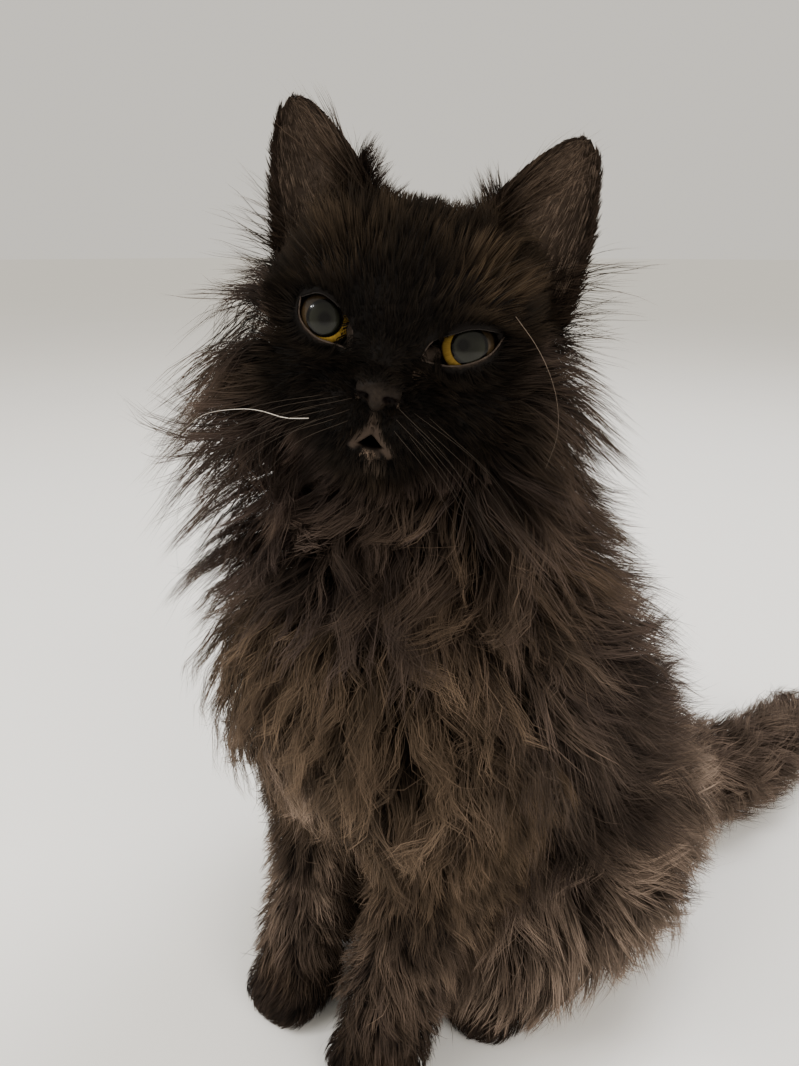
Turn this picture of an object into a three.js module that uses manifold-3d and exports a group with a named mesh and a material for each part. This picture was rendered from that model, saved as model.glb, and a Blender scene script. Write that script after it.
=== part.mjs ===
// A sitting long-haired cat with a short broad face, life size, in millimetres.
// +Z is up and the cat faces -Y, with its own left side at +X. Its head turns to its left and tilts.
// Each part of the body is its own solid. Long coat is built as flat tapered locks on a smooth core.
import * as THREE from 'three';
import { mergeVertices } from 'three/addons/utils/BufferGeometryUtils.js';
import Module from 'manifold-3d';

const wasm = await Module();
wasm.setup();

// Driving dimensions
const EYE_HEIGHT = 314;
const EYE_SPAN = 47;
const EYE_RADIUS = 10.5;
const SEAT_LENGTH = 226;
const TRUNK_HALF_WIDTH = 50;
const HAUNCH_HALF_WIDTH = 86;
const PAW_SPREAD = 27.5;
const HIND_PAW_SPREAD = 46;
const HIND_TOES = 60;
const TAIL_LENGTH = 205;
const EAR_HEIGHT = 48;
const EAR_WIDTH = 44;
const EAR_LEAN = 11.4;
const EAR_TURNS = { 1: 7.5, '-1': -21 };
const HEAD_YAW = 34;
const HEAD_PITCH = 3;
const HEAD_ROLL = 11;

// How far the tips of the coat stand off the skin, and the share of it that the solid core takes
const COAT = {
  face: 6, crown: 10, cheek: 35, ruff: 45, chest: 27, back: 39, haunch: 24, foreleg: 11, tail: 26,
};
const CORE_SHARE = 0.45;
const GAP = 0.3;

const vec = (x, y, z) => new THREE.Vector3(x, y, z);
const radians = THREE.MathUtils.degToRad;
const mix = (a, b, t) => a + (b - a) * t;
const clamp = THREE.MathUtils.clamp;

// A seeded random number, so that every build is alike
let seed = 7;
function random(low = 0, high = 1) {
  seed = (seed * 16807) % 2147483647;
  return low + (high - low) * (seed / 2147483647);
}

// Masses: each is a function of a point that gives the distance out of its surface
function egg(center, radii, turn = [0, 0, 0]) {
  const back = new THREE.Quaternion()
    .setFromEuler(new THREE.Euler(...turn.map(radians)))
    .invert();
  const q = new THREE.Vector3();
  return (p) => {
    q.copy(p).sub(center).applyQuaternion(back);
    q.set(q.x / radii[0], q.y / radii[1], q.z / radii[2]);
    const out = q.length();
    q.set(q.x / radii[0], q.y / radii[1], q.z / radii[2]);
    return (out * (out - 1)) / Math.max(q.length(), 1e-6);
  };
}

function limb(from, to, fromRadius, toRadius) {
  const along = to.clone().sub(from);
  const q = new THREE.Vector3();
  return (p) => {
    const t = clamp(q.copy(p).sub(from).dot(along) / along.lengthSq(), 0, 1);
    return p.distanceTo(q.copy(from).addScaledVector(along, t)) - mix(fromRadius, toRadius, t);
  };
}

function blend(masses, soft) {
  return (p) => {
    let sum = Infinity;
    for (const mass of masses) {
      const d = mass(p);
      const near = Math.max(soft - Math.abs(sum - d), 0) / soft;
      sum = Math.min(sum, d) - (sum === Infinity ? 0 : (near * near * soft) / 4);
    }
    return sum;
  };
}

// How far along dir from the centre the body reaches the given level outside its surface
function reach(body, center, dir, level) {
  const p = new THREE.Vector3();
  const over = (t) => body(p.copy(center).addScaledVector(dir, t)) - level(p);
  let low = 0;
  let high = 4;
  while (over(high) < 0 && high < 400) {
    low = high;
    high += 4;
  }
  for (let i = 0; i < 14; i++) {
    const middle = (low + high) / 2;
    if (over(middle) < 0) low = middle;
    else high = middle;
  }
  return (low + high) / 2;
}

// The rings of a shell: each has a centre and a lift, the angle at which its rays lean along the axis
function axisRings(points, steps, capSteps) {
  const curve = points.length > 2
    ? new THREE.CatmullRomCurve3(points)
    : new THREE.LineCurve3(...points);
  const rings = [];
  for (let i = 1; i < capSteps; i++) {
    rings.push({ at: curve.getPoint(0), along: curve.getTangent(0), lift: -90 + (90 * i) / capSteps });
  }
  for (let i = 0; i <= steps; i++) {
    rings.push({ at: curve.getPoint(i / steps), along: curve.getTangent(i / steps), lift: 0 });
  }
  for (let i = capSteps - 1; i > 0; i--) {
    rings.push({ at: curve.getPoint(1), along: curve.getTangent(1), lift: 90 - (90 * i) / capSteps });
  }
  return rings;
}

// Casts rays from the rings to the body and joins where they land into a closed surface
function shell(body, level, rings, sides, up = vec(0, 0, 1)) {
  const points = [];
  const cast = (ring, dir) => {
    const far = reach(body, ring.at, dir, level);
    points.push(ring.at.clone().addScaledVector(dir, far));
  };
  const first = rings[0];
  const last = rings[rings.length - 1];
  cast(first, first.along.clone().negate());
  for (const ring of rings) {
    const side = ring.along.clone().cross(up).normalize();
    const top = side.clone().cross(ring.along).normalize();
    const flat = Math.cos(radians(ring.lift));
    const lean = Math.sin(radians(ring.lift));
    for (let i = 0; i < sides; i++) {
      const a = (2 * Math.PI * i) / sides;
      cast(ring, ring.along.clone().multiplyScalar(lean)
        .addScaledVector(side, flat * Math.cos(a))
        .addScaledVector(top, flat * Math.sin(a)));
    }
  }
  cast(last, last.along.clone());
  return closedRings(points, rings.length, sides);
}

// A surface over rings of points, with one point before the first ring and one after the last
function closedRings(points, ringCount, sides) {
  const faces = [];
  const id = (ring, i) => 1 + ring * sides + (i % sides);
  const end = points.length - 1;
  for (let i = 0; i < sides; i++) {
    faces.push(0, id(0, i + 1), id(0, i));
    faces.push(end, id(ringCount - 1, i), id(ringCount - 1, i + 1));
    for (let r = 0; r + 1 < ringCount; r++) {
      faces.push(id(r, i), id(r, i + 1), id(r + 1, i + 1));
      faces.push(id(r, i), id(r + 1, i + 1), id(r + 1, i));
    }
  }
  return new THREE.BufferGeometry().setFromPoints(points).setIndex(faces);
}

// Solids: a closed geometry as a manifold, facing out, and back
function solid(geometry) {
  const bare = geometry.clone();
  bare.deleteAttribute('normal');
  bare.deleteAttribute('uv');
  const merged = mergeVertices(bare, 1e-4);
  const vertProperties = new Float32Array(merged.attributes.position.array);
  const made = (triVerts) => new wasm.Manifold(new wasm.Mesh({ numProp: 3, vertProperties, triVerts }));
  const faces = new Uint32Array(merged.index.array);
  const out = made(faces);
  if (out.volume() > 0) return out;
  for (let i = 0; i < faces.length; i += 3) {
    [faces[i + 1], faces[i + 2]] = [faces[i + 2], faces[i + 1]];
  }
  return made(faces);
}

const join = (solids) => wasm.Manifold.union(solids);
const moved = (piece, matrix) => piece.transform(matrix.elements);

function geometryOf(piece) {
  const mesh = piece.getMesh();
  const points = new Float32Array(mesh.numVert * 3);
  for (let i = 0; i < mesh.numVert; i++) {
    points.set(mesh.vertProperties.subarray(i * mesh.numProp, i * mesh.numProp + 3), i * 3);
  }
  const geometry = new THREE.BufferGeometry()
    .setAttribute('position', new THREE.BufferAttribute(points, 3))
    .setIndex(new THREE.BufferAttribute(mesh.triVerts, 1));
  geometry.computeVertexNormals();
  return geometry;
}

const largest = (piece) => piece.decompose().reduce((a, b) => (b.volume() > a.volume() ? b : a));

// The frame of the head: its origin is the middle of the skull, facing -Y before it turns
const headTurn = new THREE.Quaternion()
  .setFromAxisAngle(vec(0, 0, 1), radians(HEAD_YAW))
  .multiply(new THREE.Quaternion().setFromAxisAngle(vec(1, 0, 0), radians(-HEAD_PITCH)))
  .multiply(new THREE.Quaternion().setFromAxisAngle(vec(0, 1, 0), radians(HEAD_ROLL)));
const EYE_DEPTH = 26;
const eyesMiddle = vec(22, 42, EYE_HEIGHT);
const headAt = eyesMiddle.clone().add(vec(0, EYE_DEPTH, -2).applyQuaternion(headTurn));
const headFrame = new THREE.Matrix4().compose(headAt, headTurn, vec(1, 1, 1));
const toHead = headFrame.clone().invert();

// Masses of the head, in its own frame
const bothSides = (make) => [make(1), make(-1)];
const headBody = blend([
  egg(vec(0, 4, 6), [43, 44, 37]),
  ...bothSides((s) => egg(vec(s * 24, -14, -17), [21, 23, 20])),
  ...bothSides((s) => egg(vec(s * 21, -21, 15), [15, 13, 9])),
  egg(vec(0, -26, 0), [12, 17, 22]),
  ...bothSides((s) => egg(vec(s * 9, -37, -23), [11, 11, 9.5])),
  egg(vec(0, -32, -35), [12, 11, 8]),
], 9);
const NOSE_X = 0.8;
const noseBody = blend([
  ...bothSides((s) => egg(vec(NOSE_X + s * 3.3, -47.6, -13.6), [3.6, 4.1, 3.4], [0, s * 20, 0])),
  egg(vec(NOSE_X, -48.4, -13.4), [3.6, 4.4, 3.8]),
  egg(vec(NOSE_X, -47.8, -17), [2.8, 3.2, 3.2]),
  egg(vec(NOSE_X / 2, -41, -5), [6, 7.2, 7]),
], 2.5);

// Masses of the body, in the frame of the whole
const chestTop = vec(0, 62, 190);
const loin = vec(0, 112, 142);
const pelvis = vec(0, SEAT_LENGTH - 44, 62);
const torsoBody = blend([
  limb(chestTop, loin, 37, TRUNK_HALF_WIDTH),
  limb(loin, pelvis, TRUNK_HALF_WIDTH, TRUNK_HALF_WIDTH),
  egg(vec(0, 96, 206), [34, 38, 34]),
  ...bothSides((s) => egg(vec(s * 30, 50, 160), [22, 26, 36])),
  egg(vec(0, 150, 62), [56, 54, 42]),
], 26);
const neckBody = limb(vec(0, 84, 198), vec(1, 72, 268), 38, 35);
const thighBody = (s) => blend([
  egg(vec(s * (HAUNCH_HALF_WIDTH - 34), 158, 62), [34, 52, 52], [12, 0, 0]),
  limb(vec(s * 60, 120, 60), vec(s * 52, 96, 46), 28, 24),
], 20);
const thighBodies = { 1: thighBody(1), '-1': thighBody(-1) };
const forelegBody = (s) => blend([
  limb(vec(s * 37, 58, 150), vec(s * 36, 56, 110), 22, 20),
  limb(vec(s * 36, 56, 110), vec(s * PAW_SPREAD, 32, 36), 20, 13),
  limb(vec(s * PAW_SPREAD, 32, 36), vec(s * PAW_SPREAD, 27, 14), 13, 13),
], 12);
const pawBody = (x, toes) => blend([
  egg(vec(x, toes + 21, 14), [15, 17, 13]),
  ...[-1.5, -0.5, 0.5, 1.5].map((i) => egg(
    vec(x + i * 7.4, toes + 9.5 + 2.2 * Math.abs(i), 9), [5, 9, 8],
  )),
], 4);
const hindFootBody = (s) => limb(vec(s * 52, 160, 18), vec(s * HIND_PAW_SPREAD, 76, 13), 15, 13);
const tailCurve = new THREE.CatmullRomCurve3([
  vec(2, SEAT_LENGTH - 34, 40),
  vec(30, SEAT_LENGTH + 2, 37),
  vec(56, SEAT_LENGTH + 38, 34),
  vec(74, SEAT_LENGTH + 82, 30),
  vec(83, SEAT_LENGTH + TAIL_LENGTH - 78, 27),
  vec(85, SEAT_LENGTH + TAIL_LENGTH - 34, 24),
]);

// How deep the coat is at a point, and the level of the solid core under it
const smooth = THREE.MathUtils.smoothstep;
function headCoat(p) {
  const cheek = smooth(Math.abs(p.x), 20, 46) * smooth(-p.z, -26, 14) * smooth(p.y, -40, 0)
    * (1 - 0.14 * smooth(p.x, 10, 50) + 0.35 * smooth(-p.x, 10, 50));
  const nape = smooth(p.y, 0, 46) * smooth(-p.z, -38, 12);
  const throat = smooth(-p.z, 30, 60) * smooth(p.y, -40, 0);
  const top = smooth(p.z, 16, 34);
  const long = 1 - (1 - cheek) * (1 - nape) * (1 - throat);
  const fromEye = Math.hypot(Math.abs(p.x) - EYE_SPAN / 2, p.z - 2) + Math.max(p.y + 12, 0);
  const short = smooth(p.y, -52, -30) * mix(0.25, 1, smooth(fromEye, 10, 22));
  const crown = COAT.crown * mix(0.5, 1.15, smooth(Math.abs(p.x), 6, 26));
  return mix(mix(COAT.face, crown, top), COAT.cheek, long) * short + 1.2;
}
const headCore = (p) => mix(headCoat(p), headCoat(p) * CORE_SHARE, smooth(headCoat(p), 14, 26));

function torsoCoat(p) {
  const back = smooth(p.y, 40, 120) * smooth(p.z, 50, 140);
  const under = (1 - smooth(p.z, 70, 150)) * (1 - smooth(p.y, 70, 150));
  return mix(COAT.chest, COAT.back, back) * (1 - 0.5 * under);
}
function neckCoat(p) {
  const beside = Math.abs(p.clone().applyMatrix4(toHead).x);
  const chin = (1 - smooth(p.y, 24, 84)) * (1 - smooth(beside, 26, 54));
  const aside = 1 - 0.2 * smooth(p.x, 10, 60) + 0.2 * smooth(-p.x, 10, 60);
  return COAT.ruff * aside * (1 - 0.88 * smooth(p.z, mix(272, 226, chin), mix(322, 268, chin)));
}
const haunchCoat = (p) => COAT.haunch * mix(0.8, 1, smooth(p.z, 8, 60));

// Builds each core twice, once at size and once grown by the gap, which cuts its neighbours
function coreOf(make) {
  return { at: make(0), grown: make(GAP) };
}
const raised = (level, more) => (p) => level(p) + more;

function shellCore(body, level, rings, sides) {
  return coreOf((more) => solid(shell(body, raised(level, more), rings, sides)));
}

const cores = {};
cores.torso = shellCore(torsoBody, (p) => torsoCoat(p) * CORE_SHARE,
  axisRings([vec(0, 68, 188), vec(0, 176, 78)], 7, 4), 20);
cores.neck = shellCore(neckBody, (p) => neckCoat(p) * CORE_SHARE,
  axisRings([vec(0, 84, 200), vec(1, 72, 262)], 3, 3), 18);

// The head: rings fan out from the point of the nose, close together over the face
function headRings() {
  const lifts = [];
  for (let a = 84; a > 36; a -= 6) lifts.push(-a);
  for (let a = 33; a > -80; a -= 15) lifts.push(-a);
  return lifts.map((lift) => ({ at: vec(0, -6, -6), along: vec(0, 1, 0), lift }));
}

const BALL = [14, 10];
function sphere(center, radius, wide = BALL[0], high = BALL[1]) {
  const ball = new THREE.SphereGeometry(radius, wide, high);
  return solid(ball.translate(center.x, center.y, center.z));
}

// The openings of the lids: points of their upper and lower edges, as how far out from the nose and how high
const OPENINGS = {
  1: {
    over: [[10.4, -3.9], [13.2, 2.4], [19.7, 6.3], [26.1, 9], [35.3, 8.9]],
    under: [[35.3, 8.9], [32, 2.2], [25.7, -2.3], [18.6, -4.3], [10.4, -3.9]],
  },
  '-1': {
    over: [[11.4, -6.2], [12.6, 1.2], [17.4, 6.3], [25.2, 9.7], [32.3, 7.1]],
    under: [[32.3, 7.1], [30.6, 0.6], [24.2, -4.1], [15.3, -5.3], [11.4, -6.2]],
  },
};
const LID_BACK = -28;
function lidBar(s) {
  const spline = (points) => new THREE.SplineCurve(points.map(([x, y]) => new THREE.Vector2(x, y)));
  const edge = (points) => spline(points).getPoints(9);
  const shape = new THREE.Shape([...edge(OPENINGS[s].over), ...edge(OPENINGS[s].under).slice(1, -1)]);
  const bar = new THREE.ExtrudeGeometry(shape, { depth: 30, bevelEnabled: false });
  return solid(bar.scale(s, 1, 1).rotateX(Math.PI / 2).translate(0, LID_BACK, 0));
}

// A groove that follows a path, for the mouth and the philtrum
function groove(points, radius, steps) {
  const curve = new THREE.CatmullRomCurve3(points);
  const rings = axisRings(points, steps, 2);
  const tube = (p) => {
    let near = Infinity;
    for (let i = 0; i <= 12; i++) near = Math.min(near, p.distanceTo(curve.getPoint(i / 12)));
    return near - radius;
  };
  return solid(shell(tube, () => 0, rings, 6, vec(0, 1, 0.2)));
}

const eyeAt = (s) => vec((s * EYE_SPAN) / 2, -EYE_DEPTH, 2);
const LID = 1.7;

const onFace = (x, z, sink = 0) => {
  const from = vec(x, -10, z);
  return from.add(vec(0, sink - reach(headBody, from, vec(0, -1, 0), headCore), 0));
};

// The mouth: lips run down from under the nose to both sides of a small opening
const MOUTH = { top: [1, -29], left: [5.4, -33.8], right: [-3.6, -33.6], under: [1, -35] };

function faceCuts() {
  const cuts = [];
  for (const s of [1, -1]) {
    const corner = s > 0 ? MOUTH.left : MOUTH.right;
    cuts.push(lidBar(s), sphere(eyeAt(s), EYE_RADIUS + GAP));
    cuts.push(solid(new THREE.SphereGeometry(1, 8, 6).scale(2.1, 3.4, 1)
      .rotateY(radians(s * 16)).translate(NOSE_X + s * 4.8, -50.6, -16.9)));
    const lipLine = [corner, [corner[0] + s * 3, -35.4], [corner[0] + s * 6, -37], [s * 14, -38]];
    cuts.push(groove(lipLine.map((at) => onFace(...at)), 0.8, 6));
  }
  cuts.push(groove([onFace(NOSE_X, -18), onFace(NOSE_X, -23), onFace(MOUTH.top[0], -29)], 0.8, 4));
  const opened = new THREE.Shape();
  opened.moveTo(...MOUTH.top);
  opened.lineTo(...MOUTH.left);
  opened.quadraticCurveTo(...MOUTH.under, ...MOUTH.right);
  const mouth = new THREE.ExtrudeGeometry(opened, { depth: 20, bevelEnabled: false, curveSegments: 4 });
  cuts.push(solid(mouth.rotateX(Math.PI / 2).translate(0, onFace(0, -31, 7).y, 0)));
  return join(cuts);
}

function lip(from, to, thick, more) {
  const ends = [onFace(...from, 0.7), onFace(...to, 0.7)];
  return solid(shell(limb(...ends, thick, thick), () => more, axisRings(ends, 2, 2), 8));
}

function headSolid(more) {
  const base = solid(shell(headBody, raised(headCore, more), headRings(), 28, vec(0, 0, 1)));
  const noseLine = [vec(0, -46, -13), vec(0, -40, -9)];
  const nose = solid(shell(noseBody, () => 0.6 + more, axisRings(noseLine, 2, 3), 14));
  const lidBalls = bothSides((s) => sphere(eyeAt(s), EYE_RADIUS + LID + more));
  const lips = [
    lip([1, -25.5], [8, -34.6], 1.7, more),
    lip([1, -25.5], [-6, -33.8], 1.7, more),
    lip([5.2, -36.4], [-3.4, -36], 1.8, more),
  ];
  const whole = join([base, nose, ...lidBalls, ...lips]);
  return more ? whole : whole.subtract(faceCuts());
}
cores.head = { at: headSolid(0), grown: headSolid(GAP) };

// An ear: a cupped sheet with both faces split alike, rooted in the head
function ear(s, grow) {
  const across = 8;
  const up = 7;
  const thick = 2.4 + 2 * grow;
  const faces = [];
  const front = [];
  const back = [];
  for (let j = 0; j <= up; j++) {
    const v = j / up;
    const half = (EAR_WIDTH / 2 + grow) * (1 - v ** 1.7) ** 0.65 + 1.6;
    for (let i = 0; i <= across; i++) {
      const u = -1 + (2 * i) / across;
      const cup = 15 * (1 - u * u) * (1 - 0.75 * v) + 3 * v;
      const x = s * (u * half + EAR_LEAN * v);
      const z = -18 + (EAR_HEIGHT + 18 + grow) * v - u * 10 * (1 - v);
      front.push(vec(x, cup - thick / 2, z));
      back.push(vec(x, cup + thick / 2, z));
    }
  }
  const points = [...front, ...back];
  const count = front.length;
  const id = (i, j, layer) => layer * count + j * (across + 1) + i;
  const quad = (a, b, c, d) => faces.push(a, b, c, a, c, d);
  for (let j = 0; j < up; j++) {
    for (let i = 0; i < across; i++) {
      quad(id(i, j, 0), id(i + 1, j, 0), id(i + 1, j + 1, 0), id(i, j + 1, 0));
      quad(id(i, j + 1, 1), id(i + 1, j + 1, 1), id(i + 1, j, 1), id(i, j, 1));
    }
    quad(id(0, j, 1), id(0, j, 0), id(0, j + 1, 0), id(0, j + 1, 1));
    quad(id(across, j, 0), id(across, j, 1), id(across, j + 1, 1), id(across, j + 1, 0));
  }
  for (let i = 0; i < across; i++) {
    quad(id(i, 0, 1), id(i + 1, 0, 1), id(i + 1, 0, 0), id(i, 0, 0));
    quad(id(i, up, 0), id(i + 1, up, 0), id(i + 1, up, 1), id(i, up, 1));
  }
  const sheet = new THREE.BufferGeometry().setFromPoints(points).setIndex(faces);
  sheet.rotateX(radians(-4)).rotateZ(radians(s * 20)).rotateY(radians(EAR_TURNS[s]));
  sheet.translate(s * 32.5, 0.5, 30);
  return solid(sheet);
}
const earCore = (s) => coreOf((more) => ear(s, more));
cores.ear_left = earCore(1);
cores.ear_right = earCore(-1);

for (const [side, s] of [['left', 1], ['right', -1]]) {
  cores['thigh_' + side] = shellCore(thighBody(s), (p) => haunchCoat(p) * CORE_SHARE,
    axisRings([vec(s * 54, 172, 62), vec(s * 57, 112, 54)], 4, 3), 14);
  cores['foreleg_' + side] = coreOf((more) => join([
    solid(shell(forelegBody(s), () => COAT.foreleg * 0.6 + more,
      axisRings([vec(s * 36, 57, 124), vec(s * 34, 50, 92), vec(s * PAW_SPREAD, 31, 36),
        vec(s * PAW_SPREAD, 28, 18)], 5, 2), 10)),
    solid(shell(pawBody(s * PAW_SPREAD, 3), () => 3 + more,
      axisRings([vec(s * PAW_SPREAD, 30, 13), vec(s * PAW_SPREAD, 16, 11)], 2, 3), 14)),
  ]));
  cores['hind_foot_' + side] = coreOf((more) => join([
    solid(shell(hindFootBody(s), () => 4 + more,
      axisRings([vec(s * 51, 156, 17), vec(s * HIND_PAW_SPREAD, 84, 13)], 2, 2), 10)),
    solid(shell(pawBody(s * HIND_PAW_SPREAD, HIND_TOES), () => 3 + more,
      axisRings([vec(s * HIND_PAW_SPREAD, 84, 13), vec(s * HIND_PAW_SPREAD, HIND_TOES + 13, 11)], 2, 3), 14)),
  ]));
}

// The tail is three lengths of one brush
const TAIL_PARTS = ['tail_base', 'tail_middle', 'tail_tip'];
const tailRadius = (t) => mix(13, 7, t);
const tailCoat = (t) => COAT.tail * (0.75 + 0.25 * Math.sin(Math.PI * Math.min(1, t * 1.15)));

function tailPart(index, more) {
  const from = index / TAIL_PARTS.length;
  const to = (index + 1) / TAIL_PARTS.length;
  const steps = 3;
  const sides = 12;
  const rings = [];
  const half = GAP / 2 - more;
  for (let i = 0; i <= steps; i++) {
    const t = mix(from, to, i / steps);
    const along = tailCurve.getTangentAt(t);
    const slip = (i === 0 && index > 0 ? half : 0) - (i === steps && index < 2 ? half : 0);
    const close = Math.sqrt(1 - clamp((t - 0.86) / 0.14, 0, 1) ** 2 * 0.85);
    const radius = (tailRadius(t) + tailCoat(t) * CORE_SHARE) * close + more;
    rings.push({ at: tailCurve.getPointAt(t).addScaledVector(along, slip), along, radius });
  }
  const points = [rings[0].at];
  for (const ring of rings) {
    const side = ring.along.clone().cross(vec(0, 0, 1)).normalize();
    const top = side.clone().cross(ring.along);
    for (let i = 0; i < sides; i++) {
      const a = (2 * Math.PI * i) / sides;
      points.push(ring.at.clone()
        .addScaledVector(side, ring.radius * Math.cos(a))
        .addScaledVector(top, ring.radius * Math.sin(a)));
    }
  }
  const last = rings[steps];
  points.push(last.at.clone().addScaledVector(last.along, index === 2 ? 9 : 0));
  return solid(closedRings(points, rings.length, sides));
}
TAIL_PARTS.forEach((name, index) => {
  cores[name] = coreOf((more) => tailPart(index, more));
});

// The surface of the coat at a share of its depth: 0 is the skin and 1 the tips
const tailSamples = Array.from({ length: 25 }, (_, i) => ({ t: i / 24, at: tailCurve.getPointAt(i / 24) }));
const nearer = (p, a, b) => (p.distanceToSquared(a.at) < p.distanceToSquared(b.at) ? a : b);
const nearTail = (p) => tailSamples.reduce((a, b) => nearer(p, a, b));
function coatSurface(share) {
  const q = new THREE.Vector3();
  return blend([
    (p) => torsoBody(p) - torsoCoat(p) * share,
    (p) => neckBody(p) - neckCoat(p) * share,
    ...bothSides((s) => (p) => thighBodies[s](p) - haunchCoat(p) * share),
    (p) => headBody(q.copy(p).applyMatrix4(toHead)) - headCoat(q) * share,
    (p) => {
      const near = nearTail(p);
      return p.distanceTo(near.at) - tailRadius(near.t) - tailCoat(near.t) * share;
    },
  ], mix(8, 34, share));
}

function slope(body, p) {
  const q = new THREE.Vector3();
  const along = (x, y, z) => body(q.set(p.x + x, p.y + y, p.z + z)) - body(q.set(p.x - x, p.y - y, p.z - z));
  return vec(along(1, 0, 0), along(0, 1, 0), along(0, 0, 1)).normalize();
}

// The way the coat lies: back along the tail, down the body and out from the face
function lie(p) {
  if (p.y > SEAT_LENGTH + 6) return tailCurve.getTangentAt(nearTail(p).t).add(vec(0, 0, -0.15));
  const back = 0.9 * smooth(p.y, 60, 150);
  const wave = 0.22 * Math.sin(p.z / 17 + p.x / 23);
  const flow = vec(wave + 0.3 * Math.sign(p.x) * smooth(p.z, 190, 260), back - 0.1, -1);
  const near = p.clone().applyMatrix4(toHead);
  const out = vec(0.55 * Math.sign(near.x), 0.5, -0.8).applyQuaternion(headTurn);
  return flow.lerp(out, smooth(p.z, 252, 292));
}

// A lock: where it is rooted, how long and wide it is, and how it bends
const LOCK_STEPS = 3;
const LOCK_SINK = 5;
function lockLine({ root, length, bend }) {
  const line = [];
  const p = root.clone();
  for (let i = 0; i <= LOCK_STEPS; i++) {
    const t = i / LOCK_STEPS;
    const surface = coatSurface(mix(CORE_SHARE, 1, t ** 0.8));
    for (let again = 0; again < 2; again++) p.addScaledVector(slope(surface, p), -surface(p));
    const up = slope(surface, p);
    const flow = lie(p);
    flow.addScaledVector(up, -flow.dot(up)).normalize();
    const side = flow.clone().cross(up);
    line.push({ at: p.clone().addScaledVector(up, -LOCK_SINK * (1 - Math.min(1, t * 3))), up, side });
    p.addScaledVector(flow, length / LOCK_STEPS)
      .addScaledVector(side, (bend * Math.cos(Math.PI * 1.4 * t) * length) / LOCK_STEPS);
  }
  return line;
}

// A lock that would fold over itself is left out
function runsOn(spec) {
  const line = lockLine(spec);
  return line.slice(1).every(({ at, side }, i) => {
    const step = at.clone().sub(line[i].at);
    const ahead = line[i].up.clone().cross(line[i].side).negate();
    return side.dot(line[i].side) > 0.7 && Math.abs(step.normalize().dot(ahead)) > 0.5;
  });
}

function lockSolid(spec, more) {
  const points = [];
  const line = lockLine(spec);
  const tip = line.pop();
  line.forEach(({ at, up, side }, i) => {
    const t = i / LOCK_STEPS;
    const full = mix(0.8, 1, Math.min(1, t * 3)) * (1 - t) ** 0.6;
    const wide = (spec.width / 2) * full + more * 5;
    const thick = spec.width * 0.2 * full;
    const low = at.clone().addScaledVector(up, -thick * 0.5 - more * 1.5);
    points.push(low.clone().addScaledVector(side, wide));
    points.push(at.clone().addScaledVector(up, thick + more * 2));
    points.push(low.clone().addScaledVector(side, -wide));
  });
  const start = points[0].clone().add(points[2]).multiplyScalar(0.5);
  const end = tip.at.clone().add(tip.at.clone().sub(line[line.length - 1].at).setLength(more * 6));
  return solid(closedRings([start, ...points, end], line.length, 3));
}

// Rows of locks: rays from an axis that leave the core in turn around it
const locks = {};
function addLock(name, root, length, width) {
  locks[name] ??= [];
  locks[name].push({
    root,
    length: length * random(0.85, 1.18),
    width: width * random(0.85, 1.15),
    bend: random(-0.35, 0.35),
  });
}

function addRow(name, body, level, center, angles, length, width) {
  for (const angle of angles) {
    const a = radians(angle + random(-4, 4));
    const dir = vec(Math.sin(a), -Math.cos(a), random(-0.12, 0.12)).normalize();
    const root = center.clone().addScaledVector(dir, reach(body, center, dir, level));
    addLock(name, root, length, width);
  }
}
const fan = (from, to, count, shift = 0) => Array.from(
  { length: count }, (_, i) => from + ((to - from) * (i + 0.5 + shift)) / count,
);

const headInBody = (p) => headBody(p.clone().applyMatrix4(toHead));
const headLevel = (p) => headCore(p.clone().applyMatrix4(toHead));
[4, -14, -32].forEach((z, row) => {
  const at = vec(0, 6, z).applyMatrix4(headFrame);
  const half = 112 + row * 14;
  addRow('head', headInBody, headLevel, at, fan(HEAD_YAW + 180 - half, HEAD_YAW + 180 + half, 10), 46, 27);
});
[274, 254, 234, 212].forEach((z, row) => {
  const at = vec(3, 78, z);
  addRow('neck', neckBody, (p) => neckCoat(p) * CORE_SHARE, at, fan(0, 360, 13, row / 2), 60, 31);
});
const torsoLevel = (p) => torsoCoat(p) * CORE_SHARE;
[204, 182, 158, 132, 108, 84].forEach((z, row) => {
  const at = vec(0, mix(150, 75, (z - 60) / 140), z);
  addRow('torso', torsoBody, torsoLevel, at, fan(0, 360, 13, row / 2), 56, 31);
});
addRow('torso', torsoBody, torsoLevel, vec(0, 160, 66), fan(140, 230, 4), 44, 30);
for (const [side, s] of [['left', 1], ['right', -1]]) {
  [104, 82, 60, 38].forEach((z, row) => {
    const at = vec(s * 40, 146, z);
    addRow('thigh_' + side, thighBodies[s], (p) => haunchCoat(p) * CORE_SHARE, at,
      fan(20, 175, 6, row / 2).map((a) => a * s), 50, 28);
  });
}
TAIL_PARTS.forEach((name, index) => {
  for (let row = 0; row < 2; row++) {
    const t = (index + 0.25 + row * 0.5) / 3;
    const along = tailCurve.getTangentAt(t);
    const side = along.clone().cross(vec(0, 0, 1)).normalize();
    const top = side.clone().cross(along);
    for (let i = 0; i < 6; i++) {
      const a = (Math.PI * (i + (row ? 0.5 : 0))) / 3;
      const dir = side.clone().multiplyScalar(Math.cos(a)).addScaledVector(top, Math.sin(a));
      const root = tailCurve.getPointAt(t).addScaledVector(dir, tailRadius(t) + tailCoat(t) * CORE_SHARE);
      if (root.z > 6) addLock(name, root, 50, 25);
    }
  }
});

// Keeps what is over the floor
const FLOOR_BLOCK = solid(new THREE.BoxGeometry(2000, 2000, 400).translate(0, 0, -200));

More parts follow.
